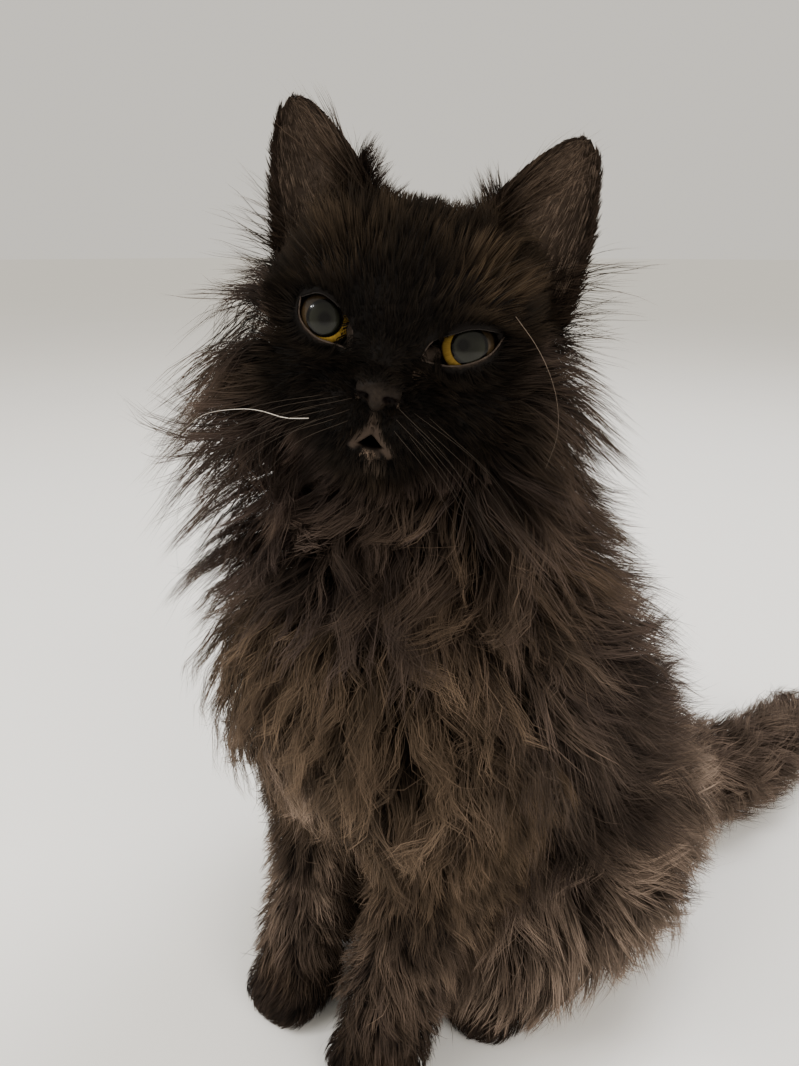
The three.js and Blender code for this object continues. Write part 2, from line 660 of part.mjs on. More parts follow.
// Neighbours that cut a part, where they meet it
const order = ['head', 'torso', 'neck', 'ear_left', 'ear_right', 'thigh_left', 'thigh_right',
  'foreleg_left', 'foreleg_right', 'hind_foot_left', 'hind_foot_right', ...TAIL_PARTS];
const inHead = new Set(['head', 'ear_left', 'ear_right']);
const inFrame = (name, piece, frame) => {
  if (inHead.has(name) === (frame === 'head')) return piece;
  return moved(piece, frame === 'head' ? toHead : headFrame);
};

const fur = (name, color) => new THREE.MeshStandardMaterial({ name, color, roughness: 0.85 });
const COLORS = { coat: '#2b2320', face: '#191514', ear: '#3a302d', eye: '#c79a1e' };
const slotOf = (name) => (name === 'head' ? 'face' : name.startsWith('ear') ? 'ear' : 'coat');

const cat = new THREE.Group();
const headGroup = new THREE.Group();
headGroup.position.copy(headAt);
headGroup.quaternion.copy(headTurn);
cat.add(headGroup);

const together = (a, b) => TAIL_PARTS.includes(a) && TAIL_PARTS.includes(b);

// A lock is kept where its root is clear of every other core
const lockSolids = {};
for (const [name, specs] of Object.entries(locks)) {
  const others = order
    .filter((other) => other !== name && !together(name, other))
    .map((other) => inFrame(other, cores[other].grown, 'body'));
  const clear = specs.filter((spec) => {
    const pin = sphere(spec.root, 1.5, 4, 3);
    return others.every((other) => pin.intersect(other).volume() < 0.1) && runsOn(spec);
  });
  const all = (more) => {
    const joined = join(clear.map((spec) => lockSolid(spec, more)));
    return inHead.has(name) ? moved(joined, toHead) : joined;
  };
  lockSolids[name] = { at: all(0), grown: all(GAP) };
}

const grownOf = (group, names, frame) => join(names.map((name) => inFrame(name, group[name].grown, frame)));
order.forEach((name, index) => {
  const frame = inHead.has(name) ? 'head' : 'body';
  const before = order.slice(0, index);
  const cut = before.filter((other) => !together(name, other));
  let piece = cores[name].at;
  if (cut.length) piece = piece.subtract(grownOf(cores, cut, frame));
  if (lockSolids[name]) {
    const others = order.filter((other) => other !== name);
    piece = piece.add(lockSolids[name].at.subtract(grownOf(cores, others, frame)));
  }
  const lockedBefore = before.filter((other) => lockSolids[other]);
  if (lockedBefore.length) piece = piece.subtract(grownOf(lockSolids, lockedBefore, frame));
  if (frame === 'body') piece = piece.subtract(FLOOR_BLOCK);
  const kind = slotOf(name);
  const mesh = new THREE.Mesh(geometryOf(largest(piece.simplify(0.08))), fur(kind, COLORS[kind]));
  mesh.name = name;
  (frame === 'head' ? headGroup : cat).add(mesh);
});

for (const [side, s] of [['left', 1], ['right', -1]]) {
  const ball = new THREE.SphereGeometry(EYE_RADIUS, ...BALL);
  const eye = new THREE.Mesh(ball, new THREE.MeshStandardMaterial({ color: COLORS.eye, roughness: 0.1 }));
  eye.name = 'eye_' + side;
  eye.position.copy(eyeAt(s));
  headGroup.add(eye);
}

// The origin is on the floor under the middle of the whole
cat.updateMatrixWorld(true);
const box = new THREE.Box3().setFromObject(cat, true);
const middle = box.getCenter(vec(0, 0, 0));
cat.position.set(-middle.x, -middle.y, -box.min.z);

export default cat;
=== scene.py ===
import math

import bpy
import numpy as np
from mathutils import Matrix, Vector, kdtree


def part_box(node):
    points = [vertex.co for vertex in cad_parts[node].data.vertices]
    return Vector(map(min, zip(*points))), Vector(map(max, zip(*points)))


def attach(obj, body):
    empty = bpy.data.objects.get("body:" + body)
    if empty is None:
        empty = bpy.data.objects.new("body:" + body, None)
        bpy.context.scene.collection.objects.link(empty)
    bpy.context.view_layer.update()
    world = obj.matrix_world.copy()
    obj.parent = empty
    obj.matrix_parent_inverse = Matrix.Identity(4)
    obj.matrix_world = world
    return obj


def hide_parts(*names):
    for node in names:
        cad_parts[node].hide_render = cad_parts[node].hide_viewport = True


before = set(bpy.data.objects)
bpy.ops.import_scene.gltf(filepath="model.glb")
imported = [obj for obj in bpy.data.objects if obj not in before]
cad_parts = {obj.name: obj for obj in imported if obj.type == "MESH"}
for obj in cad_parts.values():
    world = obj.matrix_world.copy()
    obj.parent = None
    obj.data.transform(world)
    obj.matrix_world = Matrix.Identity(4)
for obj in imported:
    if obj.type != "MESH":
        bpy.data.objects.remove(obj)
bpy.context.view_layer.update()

random = np.random.default_rng(11)

# Driving dimensions, as in the solids, in millimetres and degrees
EYE_MIDDLE = (22.0, 42.0, 314.0)
EYE_SPAN = 47.0
EYE_RADIUS = 10.5
EYE_DEPTH = 26.0
SEAT_LENGTH = 226.0
TRUNK_HALF_WIDTH = 50.0
HAUNCH_HALF_WIDTH = 86.0
PAW_SPREAD = 27.5
HIND_PAW_SPREAD = 46.0
FORE_TOES = 3.0
HIND_TOES = 60.0
TAIL_LENGTH = 205.0
EAR_HEIGHT = 48.0
EAR_WIDTH = 44.0
EAR_LEAN = 11.4
HEAD_TURN = (34.0, -3.0, 11.0)
SKIN_FLOOR, GUIDE_FLOOR, HAIR_FLOOR = 0.6, 1.2, 0.5
SIDES = ((1, "left"), (-1, "right"))
COAT = dict(face=6, crown=10, cheek=35, ruff=45, chest=27, back=39, haunch=24, foreleg=9, foot=5, paw=3.5,
            tail=26)


def smooth(x, low, high):
    t = np.clip((x - low) / (high - low), 0, 1)
    return t * t * (3 - 2 * t)


def fade(x, low, high):
    return 1 - smooth(x, low, high)


def mix(a, b, t):
    return a + (b - a) * t


def turned(degrees, axis):
    return np.array(Matrix.Rotation(math.radians(degrees), 3, axis))


def unit(v):
    return v / np.maximum(np.linalg.norm(v, axis=-1, keepdims=True), 1e-9)


def dot(a, b):
    return (a * b).sum(-1, keepdims=True)


HEAD_AXES = turned(HEAD_TURN[0], "Z") @ turned(HEAD_TURN[1], "X") @ turned(HEAD_TURN[2], "Y")
HEAD_AT = np.array(EYE_MIDDLE) + HEAD_AXES @ np.array((0, EYE_DEPTH, -2.0))


def to_head(p):
    return (p - HEAD_AT) @ HEAD_AXES


def from_head(p):
    return np.asarray(p, float) @ HEAD_AXES.T + HEAD_AT


# Masses: each is a function of points that gives how far they are out of its surface
def egg(center, radii, turn=(0, 0, 0)):
    spin = turned(turn[0], "X") @ turned(turn[1], "Y") @ turned(turn[2], "Z")
    center, radii = np.array(center, float), np.array(radii, float)

    def mass(p):
        q = ((p - center) @ spin) / radii
        out = np.sqrt((q * q).sum(1))
        q /= radii
        return out * (out - 1) / np.maximum(np.sqrt((q * q).sum(1)), 1e-6)

    return mass


def limb(start, end, start_radius, end_radius):
    start, along = np.array(start, float), np.array(end, float) - np.array(start, float)

    def mass(p):
        q = p - start
        t = np.clip(q @ along / (along @ along), 0, 1)
        q -= t[:, None] * along
        return np.sqrt((q * q).sum(1)) - mix(start_radius, end_radius, t)

    return mass


def soft_min(a, b, soft):
    near = np.maximum(soft - np.abs(a - b), 0) / soft
    return np.minimum(a, b) - near * near * soft / 4


def soft_max(a, b, soft):
    return -soft_min(-a, -b, soft)


def blend(masses, soft):
    def mass(p):
        total = masses[0](p)
        for other in masses[1:]:
            total = soft_min(total, other(p), soft)
        return total

    return mass


def both(make):
    return [make(1), make(-1)]


def only(p, where, mass, far=90.0):
    out = np.full(len(p), far)
    if where.any():
        out[where] = mass(p[where])
    return out


head_body = blend([
    egg((0, 4, 6), (43, 44, 37)),
    *both(lambda s: egg((s * 24, -14, -17), (21, 23, 20))),
    *both(lambda s: egg((s * 21, -21, 15), (15, 13, 9))),
    egg((0, -26, 0), (12, 17, 22)),
    *both(lambda s: egg((s * 9, -37, -23), (11, 11, 9.5))),
    egg((0, -32, -35), (12, 11, 8)),
], 9)
NOSE_X = 0.8
nose_body = blend([
    *both(lambda s: egg((NOSE_X + s * 3.9, -47.4, -14.6), (2.9, 3.8, 2.9), (0, s * 16, 0))),
    egg((NOSE_X, -48.2, -13.2), (3.5, 4.2, 3.2)),
    egg((NOSE_X, -48.0, -17.4), (2.2, 3.2, 3.4)),
    egg((NOSE_X / 2, -41, -5), (5.6, 7.0, 7)),
], 1.8)
torso_body = blend([
    limb((0, 62, 190), (0, 112, 142), 37, TRUNK_HALF_WIDTH),
    limb((0, 112, 142), (0, SEAT_LENGTH - 44, 62), TRUNK_HALF_WIDTH, TRUNK_HALF_WIDTH),
    egg((0, 96, 206), (34, 38, 34)),
    *both(lambda s: egg((s * 30, 50, 160), (22, 26, 36))),
    egg((0, 150, 62), (56, 54, 42)),
], 26)
neck_body = limb((0, 84, 198), (1, 72, 268), 38, 35)
thigh_bodies = both(lambda s: blend([
    egg((s * (HAUNCH_HALF_WIDTH - 34), 158, 62), (34, 52, 52), (12, 0, 0)),
    limb((s * 60, 120, 60), (s * 52, 96, 46), 28, 24),
], 20))
foreleg_bodies = both(lambda s: blend([
    limb((s * 37, 58, 150), (s * 36, 56, 110), 22, 20),
    limb((s * 36, 56, 110), (s * PAW_SPREAD, 32, 36), 20, 13),
    limb((s * PAW_SPREAD, 32, 36), (s * PAW_SPREAD, 27, 14), 13, 13),
], 12))
hind_foot_bodies = both(lambda s: limb((s * 52, 160, 18), (s * HIND_PAW_SPREAD, 76, 13), 15, 13))


def paw_body(x, toes):
    return blend([
        egg((x, toes + 21, 14), (15, 17, 13)),
        *[egg((x + i * 7.4, toes + 9.5 + 2.2 * abs(i), 9), (5, 9, 8)) for i in (-1.5, -0.5, 0.5, 1.5)],
    ], 4)


paw_bodies = [paw_body(s * x, toes) for x, toes in ((PAW_SPREAD, FORE_TOES), (HIND_PAW_SPREAD, HIND_TOES))
              for s in (1, -1)]

# The tail is a curve through a few points, sampled at even lengths
TAIL_END = SEAT_LENGTH + TAIL_LENGTH
TAIL_POINTS = np.array([
    (2, SEAT_LENGTH - 34, 40), (30, SEAT_LENGTH + 2, 37), (56, SEAT_LENGTH + 38, 34),
    (74, SEAT_LENGTH + 82, 30), (83, TAIL_END - 78, 27), (85, TAIL_END - 34, 24),
], float)


def curve_through(points, count):
    """Even samples of a smooth curve through the points, and its tangents."""
    p = np.vstack([2 * points[0] - points[1], points, 2 * points[-1] - points[-2]])
    fine = []
    for i in range(1, len(p) - 2):
        for t in np.linspace(0, 1, 24, endpoint=False):
            a, b, c, d = p[i - 1:i + 3]
            fine.append(b + t * (c - a) / 2 + t * t * (a - 2.5 * b + 2 * c - d / 2)
                        + t ** 3 * (-a / 2 + 1.5 * b - 1.5 * c + d / 2))
    fine = np.array(fine + [p[-2]])
    length = np.concatenate([[0], np.cumsum(np.linalg.norm(np.diff(fine, axis=0), axis=1))])
    even = np.linspace(0, length[-1], count)
    at = np.stack([np.interp(even, length, fine[:, i]) for i in range(3)], 1)
    return at, unit(np.gradient(at, axis=0))


TAIL_AT, TAIL_ALONG = curve_through(TAIL_POINTS, 33)


def near_tail(p):
    """The share of the tail's length nearest to each point, and the distance to its line."""
    best = np.full(len(p), 1e9)
    share = np.zeros(len(p))
    for i in range(len(TAIL_AT) - 1):
        along = TAIL_AT[i + 1] - TAIL_AT[i]
        q = p - TAIL_AT[i]
        t = np.clip(q @ along / (along @ along), 0, 1)
        d = np.linalg.norm(q - t[:, None] * along, axis=1)
        closer = d < best
        best[closer] = d[closer]
        share[closer] = (i + t[closer]) / (len(TAIL_AT) - 1)
    return share, best


def tail_radius(t):
    return mix(13, 7, t)


def tail_coat(t):
    return COAT["tail"] * (0.75 + 0.25 * np.sin(np.pi * np.minimum(1, t * 1.15)))


# How deep the coat is over each mass
def head_coat(q):
    x, y, z = q.T
    aside = 1 - 0.14 * smooth(x, 10, 50) + 0.35 * smooth(-x, 10, 50)
    cheek = smooth(abs(x), 20, 46) * smooth(-z, -26, 14) * smooth(y, -40, 0) * aside
    nape = smooth(y, 0, 46) * smooth(-z, -38, 12)
    throat = smooth(-z, 30, 60) * smooth(y, -40, 0)
    top = smooth(z, 16, 34)
    long = 1 - (1 - cheek) * (1 - nape) * (1 - throat)
    eyes = np.hypot(abs(x) - EYE_SPAN / 2, z - 2) + np.maximum(y + 12, 0)
    short = smooth(y, -52, -30) * mix(0.25, 1, smooth(eyes, 10, 22))
    crown = COAT["crown"] * mix(0.5, 1.15, smooth(abs(x), 6, 26))
    return mix(mix(COAT["face"], crown, top), COAT["cheek"], long) * short + 1.2


def torso_coat(p):
    x, y, z = p.T
    back = smooth(y, 40, 120) * smooth(z, 50, 140)
    under = fade(z, 70, 150) * fade(y, 70, 150)
    return mix(COAT["chest"], COAT["back"], back) * (1 - 0.5 * under)


def neck_coat(p):
    x, y, z = p.T
    beside = abs(to_head(p)[:, 0])
    chin = fade(y, 24, 84) * fade(beside, 26, 54)
    aside = 1 - 0.2 * smooth(x, 10, 60) + 0.2 * smooth(-x, 10, 60)
    return COAT["ruff"] * aside * (1 - 0.88 * smooth(z, mix(272, 226, chin), mix(322, 268, chin)))


# The eyes' openings: points of their upper and lower edges, as how far out from the nose and how high
LID = 1.7
OPENINGS = {
    1: (((10.4, -3.9), (13.2, 2.4), (19.7, 6.3), (26.1, 9.0), (35.3, 8.9)),
        ((10.4, -3.9), (18.6, -4.3), (25.7, -2.3), (32.0, 2.2), (35.3, 8.9))),
    -1: (((11.4, -6.2), (12.6, 1.2), (17.4, 6.3), (25.2, 9.7), (32.3, 7.1)),
         ((11.4, -6.2), (15.3, -5.3), (24.2, -4.1), (30.6, 0.6), (32.3, 7.1))),
}
GAZE = {1: (1.63, -10.29, 1.3), -1: (1.02, -10.44, 0.34)}
LIDS = {s: [curve_through(np.array([(u, 0, z) for u, z in edge]), 40)[0][:, ::2] for edge in OPENINGS[s]]
        for s in (1, -1)}


def eye_at(s):
    return np.array((s * EYE_SPAN / 2, -EYE_DEPTH, 2.0))


def head_form(q):
    """The head with its nose and the bulge of its lids, before the openings are cut."""
    d = soft_min(head_body(q), nose_body(q) - 0.5, 1.6)
    for s in (1, -1):
        d = soft_min(d, np.linalg.norm(q - eye_at(s), axis=1) - EYE_RADIUS - LID, 3.0)
    return d


REGIONS = 8
HEAD, TORSO, NECK, THIGH, FORELEG, FOOT, PAW, TAIL = range(REGIONS)


def region_distances(p):
    """Distances to the skin of each region and the coat's depth over it, one column a region."""
    x, y, z = p.T
    q = to_head(p)
    high, low = z > 235, z < 175
    out = np.full((len(p), REGIONS), 90.0)
    deep = np.zeros_like(out)
    out[:, HEAD] = only(q, high, head_form)
    deep[:, HEAD] = head_coat(q)
    out[:, TORSO] = torso_body(p)
    deep[:, TORSO] = torso_coat(p)
    out[:, NECK] = only(p, z > 150, neck_body)
    deep[:, NECK] = neck_coat(p)
    for masses, region, where in ((thigh_bodies, THIGH, low), (foreleg_bodies, FORELEG, low & (y < 120)),
                                  (hind_foot_bodies, FOOT, z < 80), (paw_bodies, PAW, z < 80)):
        for mass in masses:
            out[:, region] = np.minimum(out[:, region], only(p, where, mass))
    deep[:, THIGH] = COAT["haunch"] * mix(0.8, 1, smooth(z, 8, 60))
    deep[:, FORELEG], deep[:, FOOT], deep[:, PAW] = COAT["foreleg"], COAT["foot"], COAT["paw"]
    behind = (y > 150) & (z < 130)
    if behind.any():
        t, d = near_tail(p[behind])
        out[behind, TAIL] = d - tail_radius(t)
        deep[behind, TAIL] = tail_coat(t)
    return out, deep


def skin_and_tips(p):
    """How far points are out of the bare skin and out of the coat's tips."""
    out, deep = region_distances(p)
    skin, tips = out[:, 0], out[:, 0] - deep[:, 0]
    for region in (NECK, TORSO, THIGH, TAIL, FORELEG, FOOT, PAW):
        soft = {PAW: 6, FOOT: 10, FORELEG: 12}.get(region, 16)
        skin = soft_min(skin, out[:, region], soft)
        tips = soft_min(tips, out[:, region] - deep[:, region], soft * 1.7 if region != PAW else 6)
    return skin, tips


class Field:
    """Values on an even grid, read between its points."""

    def __init__(self, low, high, step, make, finer=None):
        self.low, self.step, self.finer = np.array(low, float), step, finer
        axes = [np.arange(a, b + step, step) for a, b in zip(low, high)]
        self.shape = tuple(len(a) for a in axes)
        points = np.stack(np.meshgrid(*axes, indexing="ij"), -1).reshape(-1, 3)
        layers = []
        for values in make(points):
            grid = values.reshape(self.shape)
            layers += [grid, *np.gradient(grid, step)]
        self.values = np.stack(layers, -1).astype(np.float32)

    def at(self, p):
        g = np.clip((p - self.low) / self.step, 0.001, np.array(self.shape) - 1.001)
        i = g.astype(int)
        f = (g - i).astype(np.float32)
        total = 0
        for corner in np.ndindex(2, 2, 2):
            weight = np.where(corner, f, 1 - f).prod(1, keepdims=True)
            total = total + weight * self.values[tuple((i + corner).T)]
        if self.finer:
            top = self.finer.low + self.finer.step * (np.array(self.finer.shape) - 2)
            inside = ((p > self.finer.low + self.finer.step) & (p < top)).all(1)
            if inside.any():
                total[inside] = self.finer.at(p[inside])
        return total

    def level(self, p, share):
        """The distance and slope of the surface that lies that share of the way from skin to tips."""
        v = self.at(p)
        share = share[:, None]
        v = v[:, :4] * (1 - share) + v[:, 4:] * share
        return v[:, 0], unit(v[:, 1:])


def opening(q, s):
    """How far points are out of the bar that cuts an eye's opening."""
    u, z = q[:, 0] * s, q[:, 2]
    over, under = LIDS[s]
    above = z - np.interp(u, np.maximum.accumulate(over[:, 0]), over[:, 1])
    below = np.interp(u, np.maximum.accumulate(under[:, 0]), under[:, 1]) - z
    ends = np.maximum(over[0, 0] - u, u - over[-1, 0])
    return np.maximum(np.maximum(np.maximum(above, below) * 0.85, ends), q[:, 1] + EYE_DEPTH + 2)


def front_of(x, z, mass=head_body):
    """The y at which the face's skin is met from in front."""
    y = np.linspace(-70, 0, 281)
    d = mass(np.stack([np.full_like(y, x), y, np.full_like(y, z)], 1))
    return y[np.argmax(d < 0)]


# The mouth: lips run down and out from under the nose, with a small opening between them
LIP_TOP = (1.2, -27.0)
LIP_LEFT = (7.4, -34.2)
LIP_RIGHT = (-5.6, -33.2)
LOWER_LIP = ((5.0, -35.6), (-3.4, -35.2))
MOUTH_TOP, MOUTH_FLOOR = -29.2, -33.6


def on_face(point, out=0.0):
    return np.array((point[0], front_of(*point) - out, point[1]))


upper_lips = blend([
    limb(on_face(LIP_TOP, -0.9), on_face(LIP_LEFT, -0.9), 1.5, 1.9),
    limb(on_face(LIP_TOP, -0.9), on_face(LIP_RIGHT, -0.9), 1.5, 1.8),
    limb(on_face((NOSE_X, -20.5), -0.8), on_face(LIP_TOP, -0.8), 1.0, 1.3),
], 1.2)
lower_lip = limb(on_face(LOWER_LIP[0], -0.3), on_face(LOWER_LIP[1], -0.3), 1.5, 1.5)
philtrum = limb(on_face((NOSE_X, -19.0), 0.6), on_face((LIP_TOP[0], -29.0), 0.9), 0.5, 0.65)
MOUTH_Y = on_face((1.2, -31.5))[1]


def mouth_bar(q):
    """Out of the wedge between the lips."""
    x, y, z = q[:, 0] - 0.9, q[:, 1] - MOUTH_Y, q[:, 2]
    side = (abs(x) - (MOUTH_TOP - z) * 1.02) * 0.7
    return np.maximum.reduce([side, MOUTH_FLOOR + 0.03 * x * x - z, z - MOUTH_TOP, np.abs(y) - 9])


nostrils = both(lambda s: egg((NOSE_X + s * 4.7, -50.4, -17.0), (2.3, 3.6, 1.15), (0, s * 14, 0)))
CORNER_TOPS = {1: (14.2, -33.0, -1.6), -1: (-12.9, -33.6, 0.8)}
corners = {s: limb((s * (LIDS[s][0][0, 0] + 0.2), -35.6, LIDS[s][0][0, 1] + 0.6), CORNER_TOPS[s], 1.7, 2.5)
           for s in (1, -1)}


def face_detail(q, d):
    """Adds lips to the skin of the head, and cuts the openings."""
    d = soft_min(d, upper_lips(q), 1.6)
    d = soft_min(d, lower_lip(q), 1.4)
    d = soft_max(d, -philtrum(q), 0.6)
    d = soft_max(d, -mouth_bar(q), 0.7)
    for cut in nostrils:
        d = soft_max(d, -cut(q), 0.6)
    for s in (1, -1):
        ball = np.linalg.norm(q - eye_at(s), axis=1)
        d = soft_max(d, -opening(q, s), 0.8)
        d = soft_min(d, corners[s](q), 0.6)
        d = np.maximum(d, EYE_RADIUS + 0.1 - ball)
    return d


def bare_skin(p):
    d = skin_and_tips(p)[0]
    q = to_head(p)
    front = (q[:, 1] < -8) & (abs(q[:, 0]) < 42) & (q[:, 2] > -48) & (q[:, 2] < 26)
    if front.any():
        d[front] = face_detail(q[front], d[front])
    return np.maximum(d, SKIN_FLOOR - p[:, 2])


def graded(stops):
    """Grid lines whose spacing changes: pairs of (position, spacing up to the next position)."""
    lines = []
    for (start, step), (end, _) in zip(stops, stops[1:]):
        count = max(1, round((end - start) / step))
        lines += list(np.linspace(start, end, count, endpoint=False))
    return np.array(lines + [stops[-1][0]])


def surface_of(axes, mass, coarse=4):
    """A closed surface of quads round the inside of mass, from a grid that is only filled near it."""
    n = tuple(len(a) for a in axes)
    few = [a[::coarse] for a in axes]
    far = np.stack(np.meshgrid(*few, indexing="ij"), -1).reshape(-1, 3)
    rough = mass(far).reshape([len(a) for a in few])
    widest = max(np.diff(a).max() for a in axes) * coarse
    d = np.repeat(np.repeat(np.repeat(rough, coarse, 0), coarse, 1), coarse, 2)[:n[0], :n[1], :n[2]].copy()
    near = abs(d) < widest * 1.1 + 6
    i, j, k = np.nonzero(near)
    d[near] = mass(np.stack([axes[0][i], axes[1][j], axes[2][k]], 1))
    inside = d < 0
    corners, places, quads = [], [], []
    for axis in range(3):
        lower = [slice(None)] * 3
        upper = [slice(None)] * 3
        lower[axis], upper[axis] = slice(0, -1), slice(1, None)
        at = np.array(np.nonzero(inside[tuple(lower)] ^ inside[tuple(upper)]))
        after = at.copy()
        after[axis] += 1
        d0, d1 = d[tuple(at)], d[tuple(after)]
        place = np.stack([axes[a][at[a]] for a in range(3)], 1)
        place[:, axis] += d0 / (d0 - d1) * (axes[axis][after[axis]] - axes[axis][at[axis]])
        ring = []
        for step_b, step_c in ((-1, -1), (0, -1), (0, 0), (-1, 0)):
            cell = at.copy()
            cell[(axis + 1) % 3] += step_b
            cell[(axis + 2) % 3] += step_c
            ring.append(np.ravel_multi_index(tuple(cell), n))
        ring = np.stack(ring, 1)
        ring[d0 >= 0] = ring[d0 >= 0][:, ::-1]
        quads.append(ring)
        corners.append(ring.ravel())
        places.append(np.repeat(place, 4, axis=0))
    corners = np.concatenate(corners)
    used, index = np.unique(corners, return_inverse=True)
    places = np.concatenate(places)
    count = np.bincount(index)
    points = np.stack([np.bincount(index, places[:, a]) / count for a in range(3)], 1)
    return points, np.searchsorted(used, np.concatenate(quads))


def settle(points, mass, rounds=2, reach=0.6):
    """Moves points onto the surface of mass along its slope."""
    for _ in range(rounds):
        d = mass(points)
        near = abs(d) < 4
        p = points[near]
        slope = np.stack([mass(p + step) - mass(p - step) for step in np.eye(3) * 0.25], 1)
        move = np.clip(d[near], -reach, reach)[:, None] * unit(slope)
        points[near] = p - move
    return points


# Meshes from arrays
eye_boxes = [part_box("eye_left"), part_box("eye_right")]
OFFSET = np.mean([(np.array(a) + np.array(b)) / 2 for a, b in eye_boxes], 0) * 1000 - np.array(EYE_MIDDLE)


def placed(p):
    return (np.asarray(p) + OFFSET) / 1000


def make_mesh(name, points, loops, starts, material, attributes=None, uv=None):
    mesh = bpy.data.meshes.new(name)
    mesh.vertices.add(len(points))
    mesh.vertices.foreach_set("co", placed(points).astype(np.float32).ravel())
    mesh.loops.add(len(loops))
    mesh.loops.foreach_set("vertex_index", np.asarray(loops, np.int32))
    mesh.polygons.add(len(starts))
    mesh.polygons.foreach_set("loop_start", np.asarray(starts, np.int32))
    mesh.polygons.foreach_set("use_smooth", np.ones(len(starts), bool))
    for key, values in (attributes or {}).items():
        kind = "FLOAT_VECTOR" if np.ndim(values) == 2 else "FLOAT"
        layer = mesh.attributes.new(key, kind, "POINT")
        layer.data.foreach_set("vector" if kind == "FLOAT_VECTOR" else "value",
                               np.asarray(values, np.float32).ravel())
    if uv is not None:
        mesh.uv_layers.new(name="OFBake").data.foreach_set("uv", np.asarray(uv, np.float32).ravel())
    mesh.update(calc_edges=True)
    mesh.validate()
    mesh.materials.append(material)
    piece = bpy.data.objects.new(name, mesh)
    bpy.context.scene.collection.objects.link(piece)
    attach(piece, "root")
    return piece


def polygons(faces):
    """The corners of all faces in one row, and where each face starts in it."""
    return np.concatenate(faces), np.cumsum([0] + [len(face) for face in faces[:-1]])


def tubes(lines, radii, sides=6):
    """Closed tapered tubes along lines of points, as one list of points and faces."""
    points, faces = [], []
    for line, radius in zip(lines, radii):
        along = unit(np.gradient(line, axis=0))
        side = unit(np.cross(along, (0.3, 0.1, 1.0)))
        up = np.cross(side, along)
        base, last = len(points), len(points) + (len(line) - 1) * sides
        turns = [2 * math.pi * k / sides for k in range(sides)]
        for i, at in enumerate(line):
            points += [at + radius[i] * (math.cos(a) * side[i] + math.sin(a) * up[i]) for a in turns]
        for ring in range(base, last, sides):
            nexts = [(ring + k, ring + (k + 1) % sides) for k in range(sides)]
            faces += [(a, a + sides, b + sides, b) for a, b in nexts]
        faces += [range(base, base + sides), range(last, last + sides)[::-1]]
    return np.array(points), *polygons(faces)


# Materials
class Paint:
    """A material's shading nodes. Each method adds one and gives its output."""

    def __init__(self, name, roughness, specular):
        self.material = bpy.data.materials.new(name)
        self.material.use_nodes = True
        self.tree = self.material.node_tree
        self.surface = self.tree.nodes["Principled BSDF"]
        self.feed(self.surface, {"Roughness": roughness, "Specular IOR Level": specular})

    def feed(self, node, inputs):
        for key, value in inputs.items():
            if isinstance(value, bpy.types.NodeSocket):
                self.tree.links.new(value, node.inputs[key])
            else:
                node.inputs[key].default_value = (*value, 1) if isinstance(value, tuple) else value

    def add(self, kind, output, inputs, **settings):
        node = self.tree.nodes.new("ShaderNode" + kind)
        for key, value in settings.items():
            setattr(node, key, value)
        self.feed(node, inputs)
        return node.outputs[output]

    def attribute(self, name, output="Fac"):
        return self.add("Attribute", output, {}, attribute_name=name)

    def mixed(self, factor, a, b):
        return self.add("Mix", 2, {0: factor, 6: a, 7: b}, data_type="RGBA")

    def calculated(self, operation, *values):
        return self.add("Math", 0, dict(enumerate(values)), operation=operation)

    def times(self, a, b):
        return self.calculated("MULTIPLY", a, b)

    def noise(self, scale, detail, vector=None):
        if vector is None:
            vector = self.add("TexCoord", "Object", {})
        return self.add("TexNoise", "Fac", {"Scale": scale, "Detail": detail, "Vector": vector})

    def stretched(self, value, low, high):
        return self.add("MapRange", "Result", {"Value": value, "From Min": low, "From Max": high},
                        interpolation_type="SMOOTHSTEP")

    def bumped(self, height, strength, distance):
        normal = self.add("Bump", "Normal", {"Strength": strength, "Distance": distance, "Height": height})
        self.feed(self.surface, {"Normal": normal})


# Colours, from dark roots to the light tips of the coat; the light tips are partly the hairs' own brown and
# partly painted light shining through the thin tips
# The face colours are the face's own near-black, painted darker still as painted shade.
FACE_DARK = (0.0016, 0.0012, 0.0009)
FACE_TIP = (0.0078, 0.0058, 0.0042)
BACK_DARK = (0.0030, 0.0022, 0.0018)
BACK_TIP = (0.088, 0.063, 0.052)
RUFF_DARK = (0.0026, 0.0018, 0.0011)
RUFF_TIP = (0.125, 0.084, 0.050)
PALE_TIP = (0.34, 0.25, 0.19)


def coat_material():
    """Reads from each hair how far along it is, how brown and how pale it is, and how it varies."""
    paint = Paint("coat", 0.65, 0.05)
    along, brown, pale, vary, face = map(paint.attribute, ("along", "brown", "pale", "vary", "face"))
    patch = paint.stretched(paint.noise(42.0, 2.0), 0.3, 0.7)
    # The face tone carries the face's own dark coat and also the painted shade under the chin and on the
    # flank.
    root = paint.mixed(brown, paint.mixed(face, BACK_DARK, FACE_DARK), RUFF_DARK)
    tip = paint.mixed(brown, paint.mixed(face, BACK_TIP, FACE_TIP), RUFF_TIP)
    tip = paint.mixed(pale, tip, PALE_TIP)
    lift = paint.calculated("MULTIPLY_ADD", patch, 0.5, 0.5)
    # The hair is painted lighter towards its tip, partly its own colour and partly painted light through the
    # thin tips.
    color = paint.mixed(paint.times(paint.calculated("POWER", along, 1.1), lift), root, tip)
    shade = paint.calculated("MULTIPLY_ADD", vary, 1.5, 0.25)
    color = paint.add("VectorMath", 0, {0: color, "Scale": shade}, operation="SCALE")
    paint.feed(paint.surface, {"Base Color": color})
    return paint.material


